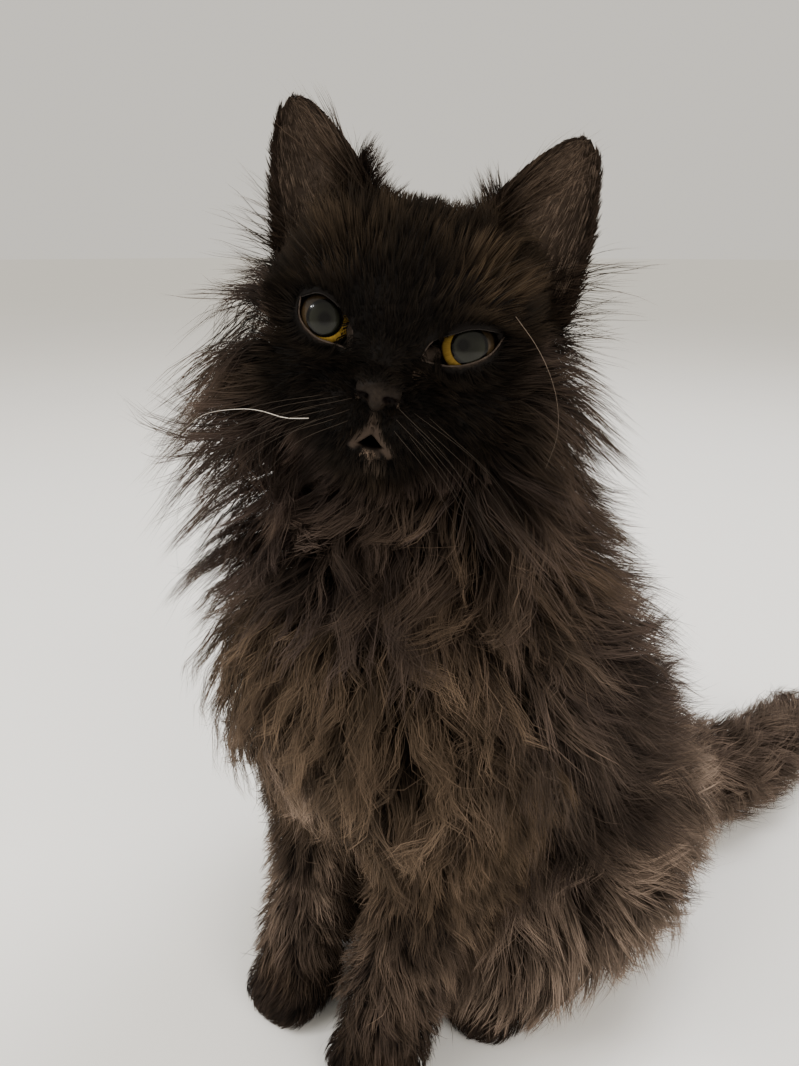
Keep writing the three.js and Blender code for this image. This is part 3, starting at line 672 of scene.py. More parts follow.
def skin_material():
    """Dark skin, with pinker lips, lids and ears, and a moist dark nose whose middle is painted lighter as a
    painted reflection.
    """
    paint = Paint("skin", 0.65, 0.06)
    fine = paint.noise(900.0, 2.0)
    broad = paint.noise(120.0, 3.0)
    color = paint.mixed(broad, (0.0022, 0.0017, 0.0014), (0.0055, 0.0042, 0.0035))
    pink = paint.mixed(broad, (0.020, 0.0140, 0.0105), (0.062, 0.045, 0.034))
    leather_and_sheen = paint.mixed(fine, (0.0060, 0.0043, 0.0032), (0.0240, 0.0175, 0.0128))
    # The mouth's gap and the nostrils are painted dark: painted shade.
    for key, over in (("pink", pink), ("leather_and_sheen", leather_and_sheen), ("hollow_shade", (0.0025, 0.0012, 0.001))):
        color = paint.mixed(paint.attribute(key), color, over)
    wet = paint.calculated("MULTIPLY_ADD", paint.attribute("leather_and_sheen"), -0.12, 0.6)
    paint.feed(paint.surface, {"Base Color": color, "Roughness": wet})
    paint.bumped(fine, 0.6, 0.0005)
    return paint.material


def eye_material():
    """A wide dark pupil with a grey-green depth; the iris is its own gold towards the nose, painted brighter
    there as painted light, and painted dim away from it as painted shade.
    """
    paint = Paint("eye", 0.3, 0.03)
    times, stretched, mixed = paint.times, paint.stretched, paint.mixed
    place = paint.add("SeparateXYZ", 0, {0: paint.attribute("gaze", "Vector")}).node.outputs
    x, z = place["X"], place["Z"]
    out = paint.calculated("SQRT", paint.calculated("ADD", times(x, x), times(z, z)))
    side = paint.calculated("DIVIDE", paint.calculated("MULTIPLY_ADD", z, -0.5, times(x, 0.87)), out)
    around = times(paint.calculated("ARCTAN2", z, x), 9.0)
    fibre = paint.noise(2.2, 4.0, paint.add("CombineXYZ", 0, {0: around, 1: times(out, 1.6)}))
    gold = mixed(fibre, (0.17, 0.090, 0.010), (0.56, 0.36, 0.065))
    dim = mixed(fibre, (0.014, 0.0095, 0.0050), (0.046, 0.030, 0.015))
    # Painted light and shade on the iris: the side towards the nose is painted lit gold and the far side is
    # painted dim. The attribute lit sets how strongly each eye's gold side is painted lit.
    iris = mixed(times(stretched(side, 0.05, 0.55), paint.attribute("lit")), dim, gold)
    haze = mixed(stretched(out, 0.1, 0.5), (0.0060, 0.0062, 0.0045), (0.0115, 0.0120, 0.0082))
    haze = mixed(stretched(out, 0.42, 0.49), haze, (0.0008, 0.0008, 0.0006))
    core = mixed(stretched(paint.attribute("core"), 0.12, 0.26), (0.0016, 0.0014, 0.0012), haze)
    color = mixed(stretched(out, 0.545, 0.585), core, iris)
    color = mixed(stretched(out, 0.76, 0.83), color, (0.0016, 0.0011, 0.0009))
    # Painted shadow of the upper lid: the top of the eye is painted darker.
    color = mixed(times(stretched(z, 0.06, 0.40), 0.7), color, (0.0010, 0.0008, 0.0006))
    wet = {"Coat Weight": 0.6, "Coat Roughness": 0.12, "Coat IOR": 1.33}
    paint.feed(paint.surface, {"Base Color": color, **wet})
    return paint.material


def plain_material(name, a, b, roughness, scale=60.0, bump=0.0, specular=0.15):
    paint = Paint(name, roughness, specular)
    grain = paint.noise(scale, 3.0)
    paint.feed(paint.surface, {"Base Color": paint.mixed(grain, a, b)})
    if bump:
        paint.bumped(grain, 0.4, bump)
    return paint.material


COAT_MATERIAL = coat_material()
SKIN_MATERIAL = skin_material()
EYE_MATERIAL = eye_material()
LID_DARK = plain_material("lid_dark", (0.0035, 0.0026, 0.0021), (0.012, 0.0088, 0.0070), 0.5, 420.0, 0.0003)
LID_PALE = plain_material("lid_pale", (0.009, 0.0063, 0.0047), (0.074, 0.055, 0.042), 0.45, 700.0, 0.0003)
WHISKERS = {kind: plain_material("whisker_" + kind, a, b, roughness) for kind, a, b, roughness in (
    ("dark", (0.009, 0.0068, 0.0050), (0.052, 0.039, 0.028), 0.5),
    ("brown", (0.10, 0.075, 0.055), (0.24, 0.19, 0.145), 0.5),
    ("pale", (0.45, 0.40, 0.35), (0.70, 0.65, 0.58), 0.4))}

# The ears: cupped sheets, as in the solids
EAR_TURNS = {1: 7.5, -1: -21.0}
EAR_AT = (32.5, 0.5, 30.0)
EAR_ROOT = 18


def ear_axes(s):
    return turned(EAR_TURNS[s], "Y") @ turned(s * 20, "Z") @ turned(-4, "X")


def ear_point(s, u, v, out=0.0):
    """A point of the ear's sheet in the head's frame: u across, v up, and out to the back."""
    half = EAR_WIDTH / 2 * (1 - np.clip(v, 0, 1) ** 1.7) ** 0.65 + 0.8
    cup = 15 * (1 - u * u) * (1 - 0.75 * v) + 3 * v + out
    x = s * (u * half + EAR_LEAN * v)
    z = -EAR_ROOT + (EAR_HEIGHT + EAR_ROOT) * v - u * 10 * (1 - v)
    p = np.stack([x, cup, z], -1)
    return p @ ear_axes(s).T + np.array(EAR_AT) * (s, 1, 1)


def ear_mesh(s, across=28, up=26):
    v, u = np.meshgrid(np.linspace(0, 1, up + 1), np.linspace(-1, 1, across + 1), indexing="ij")
    u, v = u.ravel(), v.ravel()
    edge = np.sqrt(np.clip(1 - u ** 2, 0, 1)) * np.sqrt(np.clip(1 - v ** 4, 0, 1))
    thick = 0.35 + 0.85 * edge
    count, row = len(u), across + 1
    faces = []
    for j in range(up):
        for i in range(across):
            a, d = j * row + i, (j + 1) * row + i
            faces += [(a, a + 1, d + 1, d), (count + d, count + d + 1, count + a + 1, count + a)]
    for j in range(up):
        a, d = j * row, (j + 1) * row
        b, c = a + across, d + across
        faces += [(count + a, a, d, count + d), (b, count + b, count + c, c)]
    for i in range(across):
        d = up * row + i
        faces += [(count + i, count + i + 1, i + 1, i), (d, d + 1, count + d + 1, count + d)]
    points = from_head(np.vstack([ear_point(s, u, v, -thick), ear_point(s, u, v, thick)]))
    inside = np.concatenate([np.sqrt(np.clip(1 - u ** 2, 0, 1)), np.zeros(count)])
    return points, np.array(faces)[:, ::s], inside


# The one skin
axes = [
    graded([(-108, 3.4), (-8, 0.85), (56, 3.2), (124, 1)]),
    graded([(-12, 2.4), (14, 0.85), (60, 2.6), (120, 3.6), (440, 1)]),
    graded([(-3, 2.4), (40, 3.4), (266, 0.85), (332, 1.8), (368, 1)]),
]
points, body_faces = surface_of(axes, bare_skin)
points = settle(points, bare_skin)
q = to_head(points)
x, y, z = q.T
front = (y < -20) & (points[:, 2] > 250)
lips = np.minimum(upper_lips(q), lower_lip(q) + 0.7 + 0.6 * np.maximum(0, abs(x - 1.6) - 2.4))
lips = lips + 0.5 * np.maximum(0, abs(x - 1.4) - 5.8)
off_eye = [abs(np.linalg.norm(q - eye_at(s), axis=1) - EYE_RADIUS - 0.8) for s in (1, -1)]
rims = np.minimum(*[abs(opening(q, s)) + 0.6 * off for s, off in zip((1, -1), off_eye)])
corner = np.minimum(corners[1](q), corners[-1](q))
pink = front * np.maximum.reduce([
    fade(lips, 0.5, 1.4), mix(0.6, 0.0, smooth(z, 1, 5)) * fade(rims, 0.3, 1.3),
    0.5 * fade(corner, 0.2, 0.8)])
leather_and_sheen = front * (y < -43.5) * (z > -21) * (z < -9.5) * fade(nose_body(q), 0.5, 1.2)
leather_and_sheen *= smooth(-z, 9.5, 14.5)
# Painted reflection: the nose is painted lighter in its middle, where it is also made glossier.
leather_and_sheen *= 0.45 + 0.55 * np.exp(-((x - NOSE_X) / 4.0) ** 2 - ((z + 16.0) / 3.2) ** 2)
# Painted shade inside the mouth's gap and the nostrils: they are painted dark.
hollow_shade = front * np.maximum.reduce([
    fade(mouth_bar(q), -0.1, 0.5), *[fade(cut(q), 0.1, 0.9) for cut in nostrils]])
hollow_shade *= smooth(y - MOUTH_Y, -4.0, 1.0) * (z < -25) + (z >= -25)
skin_points, skin_faces = points, body_faces
for s in (1, -1):
    points, faces, inside = ear_mesh(s)
    skin_faces = np.vstack([skin_faces, faces + len(skin_points)])
    skin_points = np.vstack([skin_points, points])
    pink = np.concatenate([pink, inside * 0.9])
    leather_and_sheen, hollow_shade = (np.concatenate([a, np.zeros(len(points))]) for a in (leather_and_sheen, hollow_shade))
skin = make_mesh("skin", skin_points, *polygons(skin_faces), SKIN_MATERIAL,
                 dict(pink=pink, leather_and_sheen=leather_and_sheen, hollow_shade=hollow_shade))
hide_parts(*[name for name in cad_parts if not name.startswith("eye")])

# The eyes and the rims of their lids; the dark depth of each pupil sits off its middle
CORE_AT = {1: 0.2, -1: 0.02}
# How lit the gold side of each iris is painted: painted light, weaker in the left eye than in the right.
GOLD_LIT = {1: 0.42, -1: 1.0}
ROUND, HIGH = 72, 48
LID_TUBES = (("upper", 0.3, LID_DARK), ("lower", 0.38, LID_PALE))
for s, side in SIDES:
    gaze = unit(np.array(GAZE[s]))
    cross = unit(np.cross(gaze, (0, 0, 1)))
    frame_eye = np.stack([cross, -gaze, np.cross(cross, gaze)], 1)
    polar = np.linspace(0, math.pi, HIGH + 1)[1:-1]
    turns = np.linspace(0, 2 * math.pi, ROUND, endpoint=False)
    a, b = np.meshgrid(polar, turns, indexing="ij")
    ball = np.stack([np.sin(a) * np.cos(b), -np.cos(a), np.sin(a) * np.sin(b)], -1).reshape(-1, 3)
    ball = np.vstack([(0, -1, 0), ball, (0, 1, 0)])
    bulge = 1 + 0.045 * smooth(-ball[:, 1], 0.62, 1.0)
    local = (ball * (EYE_RADIUS * bulge)[:, None]) @ frame_eye.T + eye_at(s)
    faces, rings = [], 1 + np.arange(HIGH - 1) * ROUND
    for k in range(ROUND):
        n = (k + 1) % ROUND
        faces.append((0, 1 + n, 1 + k))
        faces += [(r + k, r + n, r + ROUND + n, r + ROUND + k) for r in rings[:-1]]
        faces.append((rings[-1] + k, rings[-1] + n, len(ball) - 1))
    eye = make_mesh("eyeball_" + side, from_head(local), *polygons(faces), EYE_MATERIAL,
                    dict(gaze=ball * (s, 1, 1), core=np.hypot(ball[:, 0] * s - CORE_AT[s], ball[:, 2]),
                         lit=np.full(len(ball), GOLD_LIT[s])))
    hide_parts("eye_" + side)
    over, under = LIDS[s]
    for line, (edge, thick, material) in zip((over[8:], np.vstack([over[9::-1], under[1:]])), LID_TUBES):
        u, z = line[:, 0] * s, line[:, 1]
        y = np.array([front_of(a, b, head_form) for a, b in zip(u, z)]) + 0.75
        y = np.convolve(np.pad(y, 2, mode="edge"), np.ones(5) / 5, "valid")
        radius = 0.6 + 0.4 * np.sin(np.linspace(0.25, math.pi - 0.1, len(line)))
        radius = thick * (radius + random.uniform(-0.12, 0.12, len(line)))
        tube = tubes([from_head(np.stack([u, y, z], 1))], [radius], 8)
        make_mesh(f"lid_{edge}_{side}", *tube, material)

# The coat
face_field = Field((-50, -4, 236), (96, 92, 366), 1.8, skin_and_tips)
coat_field = Field((-150, -50, -12), (170, 480, 425), 4.0, skin_and_tips, face_field)


def lie(p, weights):
    """The way the coat lies at points, from the share of each region there."""
    x, y, z = p.T
    q = to_head(p)
    wave = 0.22 * np.sin(z / 17 + x / 23)
    fore = 0.1 + 0.6 * smooth(z, 205, 250) * fade(y, 50, 90)
    way = lambda *parts: np.stack([np.broadcast_to(part, len(p)) for part in parts], 1)
    body = way(wave + 0.3 * np.sign(x) * smooth(z, 190, 260), 0.9 * smooth(y, 60, 150) - fore, -1.0)
    from_nose = unit(q - np.array((0, -62, -12)))
    side = way(0.5 * np.tanh(q[:, 0] / 14), 0.0, -1.0)
    hang = smooth(-q[:, 2], -20, 26)[:, None] * smooth(q[:, 1], -40, 0)[:, None]
    head = from_nose * (1 - 0.68 * hang) + side * hang * 1.15
    for s in (1, -1):
        away = q - np.array((s * EYE_SPAN / 2, -38, 2.0))
        close = np.exp(-(away * away).sum(1, keepdims=True) / 17 ** 2)
        head = head + 1.6 * close * unit(away * (0.55, 0.2, 1))
    head = head @ HEAD_AXES.T
    share, _ = near_tail(p) if (weights[:, TAIL] > 0.01).any() else (np.zeros(len(p)), None)
    i = np.clip((share * (len(TAIL_AT) - 1)).astype(int), 0, len(TAIL_AT) - 1)
    tail = TAIL_ALONG[i] + np.array((0, 0, -0.12))
    flows = {HEAD: head, TORSO: body, NECK: body, THIGH: body, FORELEG: way(0.12 * np.sign(x), 0.28, -1.0),
             FOOT: way(0.3 * np.sign(x), -0.8, -0.5), PAW: way(0.1 * np.sign(x), -1.0, -0.55), TAIL: tail}
    return unit(sum(flows[r] * weights[:, r:r + 1] for r in flows))


REGION_BLEND = 7.0


def region_weights(p):
    out, _ = region_distances(p)
    w = np.exp(-(out - out.min(1, keepdims=True)) / REGION_BLEND)
    return w / w.sum(1, keepdims=True)


GUIDE_NODES = 9
GUIDE_SHARES = np.linspace(0, 1, GUIDE_NODES)


def grow(roots, normals, weights, length, top, heading, curl, rise):
    """Guide hairs from roots over the skin out to the tips, lying along the body."""
    path, ups = [roots], [normals]
    p = roots
    for t in GUIDE_SHARES[1:]:
        flow = lie(p, weights)
        up = ups[-1]
        flow = unit(flow - up * dot(flow, up))
        turn = (heading + curl * t * t)[:, None]
        flow = flow * np.cos(turn) + np.cross(up, flow) * np.sin(turn)
        p = p + flow * (length / (GUIDE_NODES - 1))[:, None]
        share = top * t ** rise
        for _ in range(2):
            d, up = coat_field.level(p, share)
            p = p - up * np.clip(d, -8, 8)[:, None]
        p[:, 2] = np.maximum(p[:, 2], GUIDE_FLOOR)
        path.append(p)
        ups.append(up)
    return np.stack(path, 1), np.stack(ups, 1)


def tree_of(points):
    tree = kdtree.KDTree(len(points))
    for i, at in enumerate(points):
        tree.insert(at, i)
    tree.balance()
    return tree


TRIES, LEAST_GAP = 2.2, 0.72


def scatter(corner, gap, where):
    """Roots spread evenly over some of the faces, about a gap apart."""
    cross = np.cross(corner[:, 2] - corner[:, 0], corner[:, 3] - corner[:, 1])
    weight = np.linalg.norm(cross, axis=1) / 2 * where / gap ** 2
    count = int(weight.sum() * TRIES)
    pick = random.choice(len(corner), count, p=weight / weight.sum())
    a, b = random.random((2, count, 1))
    c = corner[pick]
    p = (c[:, 0] * (1 - a) + c[:, 1] * a) * (1 - b) + (c[:, 3] * (1 - a) + c[:, 2] * a) * b
    gaps = gap[pick] * LEAST_GAP
    tree = tree_of(p)
    kept = np.ones(count, bool)
    for i, at in enumerate(p):
        if kept[i]:
            for _, j, _ in tree.find_range(at, gaps[i]):
                if j > i:
                    kept[j] = False
    return p[kept], unit(cross[pick])[kept]


# Where each region's roots lie on the coat's unwrap: left, bottom, width and height in the square
ISLANDS = {
    TORSO: (0.0, 0.0, 0.62, 0.38), NECK: (0.0, 0.39, 0.62, 0.23), HEAD: (0.0, 0.64, 0.5, 0.36),
    THIGH: (0.64, 0.0, 0.36, 0.30), FORELEG: (0.64, 0.32, 0.36, 0.20), PAW: (0.64, 0.53, 0.36, 0.10),
    FOOT: (0.52, 0.65, 0.48, 0.08), TAIL: (0.52, 0.84, 0.48, 0.16),
}
EAR_ISLAND = (0.52, 0.74, 0.48, 0.09)
ISLAND_MARGIN, TUFT_PATCH = 0.004, 0.003


def unwrap(p, region):
    """A place in the square for each root, from angles round the part that it grows on."""
    x, y, z = p.T
    q = to_head(p)
    turn = lambda a, b: np.arctan2(a, b) / (2 * np.pi) + 0.5
    half = lambda value: np.where(x > 0, 0.5, 0) + np.clip(value, 0, 1) * 0.49
    fall = np.arccos(np.clip(q[:, 2] / np.linalg.norm(q, axis=1), -1, 1)) / np.pi
    t, _ = near_tail(p)
    i = (t * (len(TAIL_AT) - 1)).astype(int)
    fore = y < 50
    paw = turn(abs(x) - np.where(fore, PAW_SPREAD, HIND_PAW_SPREAD), y - np.where(fore, 20, 78))
    local = {
        HEAD: (turn(q[:, 0], -q[:, 1]), fall),
        TORSO: (turn(x, -(y - mix(160, 70, smooth(z, 40, 200)))), z / 250),
        NECK: (turn(x, -(y - 78)), (z - 150) / 160),
        THIGH: (half(turn(abs(x) - 40, y - 150)), z / 130),
        FORELEG: (half(turn(abs(x) - 32, y - 44)), z / 180),
        PAW: (half(paw * 0.5 + np.where(fore, 0, 0.5)), z / 34),
        FOOT: (half(turn(abs(x) - 50, z - 15)), (y - 60) / 130),
        TAIL: (t, turn(x - TAIL_AT[i, 0], z - TAIL_AT[i, 2])),
    }
    out = np.zeros((len(p), 2))
    for r, (left, bottom, width, height) in ISLANDS.items():
        here = region == r
        a, b = local[r]
        out[here, 0] = left + np.clip(a[here], 0, 1) * (width - ISLAND_MARGIN)
        out[here, 1] = bottom + np.clip(b[here], 0, 1) * (height - ISLAND_MARGIN)
    return out


def column(value):
    return value[:, None]


def tufts(name, path, ups, uv, strands, width, radius, pinch, stray, tone, rings=4, crimp=0.0,
          wavelength=16.0, roll=1.0, owner=None):
    """Ribbons that follow their guide hairs, as many to a guide as strands, drawn together at the tip."""
    n, nodes = path.shape[:2]
    total = n * strands
    guide = np.repeat(np.arange(n), strands)
    owner = np.arange(n) if owner is None else owner

    def each(value):
        return column(np.broadcast_to(value, n)[guide])

    pick = random.random((total, 6))
    along = np.linspace(0, 1, rings)
    t = along[None, :] * column(0.68 + 0.4 * pick[:, 0] ** 0.7)
    at = np.clip(t * (nodes - 1), 0, nodes - 1.001)
    i = at.astype(int)
    f = (at - i)[..., None]
    g = column(guide)
    flow = unit(path[g, i + 1] - path[g, i])
    steps = each(np.linalg.norm(path[:, -1] - path[:, -2], axis=1) * (nodes - 1))
    spine = path[g, i] * (1 - f) + path[g, i + 1] * f
    spine = spine + flow * np.maximum(t - 1, 0)[..., None] * steps[..., None]
    up = unit(ups[g, i] * (1 - f) + ups[g, i + 1] * f)
    side = unit(np.cross(flow, up))
    reach = each(radius)
    a = column(np.sqrt(pick[:, 1])) * column(np.cos(2 * np.pi * pick[:, 2]))
    b = column(np.sqrt(pick[:, 1])) * column(np.sin(2 * np.pi * pick[:, 2]))
    draw = mix(1.0, each(pinch), t ** 0.75)
    loose = column(pick[:, 3] ** 4) * t * each(stray)
    way = 2 * np.pi * column(pick[:, 4])
    rise = loose * np.abs(np.sin(way)) * 0.8 - 0.8 * (1 - t) ** 6
    rise = rise + reach * 0.25 * t * (column(pick[:, 5]) - 0.3)
    spine = spine + side * (reach * a * draw + loose * np.cos(way))[..., None]
    spine = spine + flow * (reach * b * draw * 0.9)[..., None]
    spine = spine + up * rise[..., None]
    if np.any(crimp):
        x, y, z = path[:, 0].T
        phase = 2.2 * np.sin(x / 19 + z / 31) + 1.7 * np.sin(y / 23 - z / 14)
        phase = (phase + 5.0 * random.random(n))[owner] + 0.8 * random.random(n)
        turn = each(phase) + 2 * np.pi * t * steps / wavelength + 0.7 * column(pick[:, 4])
        size = each(crimp) * np.minimum(t * 1.6, 1)
        spine = spine + side * (size * np.sin(turn))[..., None]
        spine = spine + up * (0.55 * size * np.cos(turn))[..., None]
    spine[..., 2] = np.maximum(spine[..., 2], HAIR_FLOOR)
    side = unit(np.cross(unit(np.gradient(spine, axis=1)), up))
    lean = column((random.random(total) - 0.5) * 2 * roll)
    lean = lean + column((random.random(total) - 0.5) * 1.2) * along
    face = side * np.cos(lean)[..., None] + up * np.sin(lean)[..., None]
    full = each(width) * (0.75 + 0.5 * column(random.random(total)))
    full = full * (0.55 + 0.45 * np.minimum(1, along * 4)) * (1 - along ** 1.7) ** 0.8
    face = face * full[..., None] / 2

    per = 2 * rings - 1
    points = np.empty((total, per, 3))
    points[:, 0:-1:2] = (spine + face)[:, :-1]
    points[:, 1:-1:2] = (spine - face)[:, :-1]
    points[:, -1] = spine[:, -1]
    corners = sum(([r, r + 1, r + 3, r + 2] for r in range(0, per - 3, 2)), []) + [per - 3, per - 2, per - 1]
    loops = (column(np.arange(total) * per) + np.array(corners)).ravel()
    starts = (column(np.arange(total) * len(corners)) + np.arange(0, len(corners), 4)).ravel()
    ring_of = np.arange(per) // 2
    values = {key: np.repeat(each(value)[:, 0], per) for key, value in tone.items()}
    vary = 0.42 * random.random(total) + (0.1 * random.random(n) + 0.48 * random.random(n)[owner])[guide]
    values["vary"] = np.repeat(vary, per)
    values["along"] = t[:, ring_of].ravel()
    place = np.tile(np.arange(strands), n) / strands
    u = column(uv[guide, 0]) + TUFT_PATCH * (column(place) + (np.arange(per) % 2) / strands * 0.8)
    v = column(uv[guide, 1]) + TUFT_PATCH * along[ring_of]
    patch = np.stack([u, v], -1)[:, corners].reshape(-1, 2)
    piece = make_mesh(name, points.reshape(-1, 3), loops, starts, COAT_MATERIAL, values, patch)


# Which faces of the skin carry fur, and of which region they are
planted = skin_points[body_faces]
middle = planted.mean(1)
main = region_weights(middle).argmax(1)
mid_head = to_head(middle)
long_head = smooth(head_coat(mid_head), 8.5, 14)
clear = middle[:, 2] > 1.0
for bare, most in ((pink, 0.45), (leather_and_sheen, 0.4), (hollow_shade, 0.2)):
    clear &= bare[body_faces].mean(1) < most
for s in (1, -1):
    away = np.linalg.norm(mid_head - eye_at(s), axis=1)
    margin = np.where(mid_head[:, 0] * s < 16, 0.6, 0.3)
    clear &= ~((away < EYE_RADIUS + 7) & (opening(mid_head, s) < margin))
x, y, z = middle.T
is_head = main == HEAD
chest_front = (main == TORSO) & (y < mix(100, 60, smooth(z, 60, 160)))


def spot(*spans):
    """One in the middle of a spot and less round it. Each span is a coordinate, its middle and its width."""
    return np.exp(-sum(((value - at) / wide) ** 2 for value, at, wide in spans))


def brownness(p, region):
    """How brown the coat's tips are: most on the ruff and chest, least on the face and back."""
    x, y, z = p.T
    qx, _, qz = to_head(p).T
    cheek = smooth(abs(qx), 26, 58) * smooth(-qz, -22, 20)
    # The brown front ends sooner on the cat's left side: partly the chest's own brown edge and partly
    # painted shade on the flank behind the chest.
    front = fade(y + 0.7 * np.maximum(x, 0), 66, 112)
    # Painted shade under the chin: the throat's coat is made less brown.
    throat = front * smooth(z, 206, 230)
    patches = 0.6 + 0.4 * np.sin(qx / 3.6 + 1.5 * np.sin(qz / 5.0)) * np.cos(qz / 4.3 - qx / 9.0)
    brow = 0.26 * smooth(qz, 16, 34) + 0.52 * spot((abs(qx), 27, 13), (qz, 20, 9))
    brow = brow * (1 + 0.4 * (qx > 8)) * patches
    middle = (0.46 - 0.2 * spot((x, 5, 28))) * front * (1 - 0.9 * throat)
    return np.choose(region, [
        0.02 + 0.45 * cheek + brow + 0.10 * spot((qx, 2, 8), (qz, -43, 6)),
        0.06 + 0.74 * front,
        0.16 * (1 - 0.7 * throat) + middle + 0.35 * smooth(x, 14, 50),
        0.36 + 0.25 * fade(z, 30, 90),
        0.30 + 0.40 * smooth(z, 50, 110), 0.12, 0.05, 0.16])


def paleness(p, region):
    """The pale fringe over the hind leg and the lighter band across the chest."""
    x, y, z = p.T
    qx, qy, qz = to_head(p).T
    thigh = 0.8 * fade(z, 70, 135)
    fringe = smooth(abs(x), 40, 66) * fade(z, 56, 106) * smooth(y, 66, 92) * fade(y, 160, 225)
    band = fade(abs(z - 152), 16, 46) * fade(y, 50, 90) * (1 - 0.9 * smooth(x, -8, 24))
    neck = smooth(x, 8, 40) * fade(y, 60, 120) * fade(z, 200, 228)
    leg = fade(z, 80, 120) * smooth(z, 34, 62) * np.where(x < 0, 1, 0.3)
    lip = (qy < -30) * spot((qx, 1, 4.5), (qz, -36.5, 2.0))
    return np.choose(region, [
        0.12 * lip, 0.55 * band + 0.09, 0.5 * neck, 1.2 * fringe + thigh, 0.42 * leg, 0, 0, 0.34])


def shade_and_dark_feet(p, region):
    """Painted shade under the chin and on the flank behind the chest, and a darker coat on the lower legs
    and paws.
    """
    x, y, z = p.T
    throat = smooth(z, 218, 240) * fade(y, 40, 80) * spot((x, 26, 26))
    flank = smooth(x, 18, 42) * fade(y, 105, 135) * smooth(z, 88, 120)
    flank = flank * mix(0.35, 0.6, smooth(y, 50, 70)) * fade(z, 180, 205)
    shins, feet = 0.4 * fade(z, 30, 58), 0.6 * fade(z, 20, 40)
    return np.choose(region, [0, flank, 0.6 * throat, 0, shins, feet, 0.6, 0])


def fur(name, where, gap, strands, width, stretch, rings=5, crimp=0.0, wavelength=16.0, lock=12.0, pull=0.5,
        pinch=0.35, stray=3.0, roll=1.0, under=0.35, veer=0.2, curl=0.35, level=(0.9, 1.1), rise=0.62,
        swell=None):
    """Plants guide hairs where the skin is of this kind, draws them into locks and clothes them in tufts."""
    gaps = np.broadcast_to(gap, len(middle)) * thin
    roots, normals = scatter(planted, gaps, where & clear)
    weights = region_weights(roots)
    region = weights.argmax(1)
    ahead = roots + 16 * lie(roots, weights) + 8 * normals
    deep, deep_ahead = ((region_distances(p)[1] * weights).sum(1) for p in (roots, ahead))
    deep = np.maximum(deep, 0.9 * deep_ahead)
    n = len(roots)
    cell = np.floor(roots / lock + 0.31).astype(int)
    first = np.unique(cell, axis=0, return_index=True)[1]
    tree = tree_of(roots[first])
    owner = first[[tree.find(at)[1] for at in roots]]
    low = random.random(n) < under
    short, tall = random.uniform(0.4, 0.72, n), random.uniform(*level, n)[owner]
    top = np.where(low, short, tall + random.normal(0, 0.02, n))
    if swell:
        top = top * (1 + swell(roots))
    length = stretch(roots, deep) if callable(stretch) else stretch[0] * deep + stretch[1]
    length = length * np.where(low, 0.78, 1.0) * random.uniform(0.85, 1.15, n)
    heading = veer * random.normal(0, 1, n)[owner] + 0.4 * veer * random.normal(0, 1, n)
    curling = curl * random.normal(0, 1, n)[owner]
    path, ups = grow(roots, normals, weights, length, top, heading, curling, rise)
    drawn = smooth(GUIDE_SHARES, 0.08, 0.9)[:, None]
    path = path + (path[owner] - path) * pull * drawn * (1 - 0.45 * low[:, None, None])
    size = random.uniform(0.6, 1.4, n)
    tint = random.normal(0, 1, n)[owner]
    face = np.where(region == HEAD, fade(deep, 10, 24), 0)
    # Adds the painted shade under the chin and on the flank, and the darker feet, to the dark face tone.
    face = np.clip(face + shade_and_dark_feet(roots, region), 0, 1)
    brown = np.clip(brownness(roots, region) + mix(0.10, 0.015, face) * tint, 0, 1)
    pale = np.clip(paleness(roots, region) * (1 + 0.5 * tint), 0, 1)
    crimp = crimp(roots) if callable(crimp) else crimp
    tufts(name, path, ups, unwrap(roots, region), strands, width * size ** 0.5, 0.9 * gaps.mean(), pinch,
          stray, dict(brown=brown, pale=pale, face=face), rings, crimp, wavelength, roll, owner)


few = 1.0
thin = 1 / math.sqrt(few)
snout = smooth(np.linalg.norm(mid_head - np.array((0, -46, -18)), axis=1), 8, 40)


def face_length(p, deep):
    return mix(2.6, 8.5, smooth(np.linalg.norm(to_head(p) - np.array((0, -46, -16)), axis=1), 6, 46))


def head_swell(p):
    qx, _, qz = to_head(p).T
    jowl = 0.09 + 0.12 * smooth(-qz, 14, 38) * fade(p[:, 1], 35, 65)
    return 0.07 + jowl * smooth(-qx, 18, 45)


def ruff_swell(p):
    x, y, z = p.T
    sides = 0.3 * smooth(z, 195, 240) * smooth(abs(x), 24, 46)
    right = 0.04 + 0.34 * smooth(z, 202, 240) + 0.3 * smooth(z, 198, 232) * fade(y, 40, 70)
    return sides + right * smooth(-x, 16, 42)


def ruff_crimp(p):
    return mix(2.3, 0.9, smooth(np.hypot(p[:, 0], p[:, 2] - 200), 20, 62))


def back_swell(p):
    return 0.2 * smooth(p[:, 2], 120, 190) * smooth(p[:, 1], 80, 140)


def thigh_length(p, deep):
    return (1.2 * deep + 10) * mix(0.5, 1.0, smooth(p[:, 1] + 0.2 * p[:, 2], 84, 112))


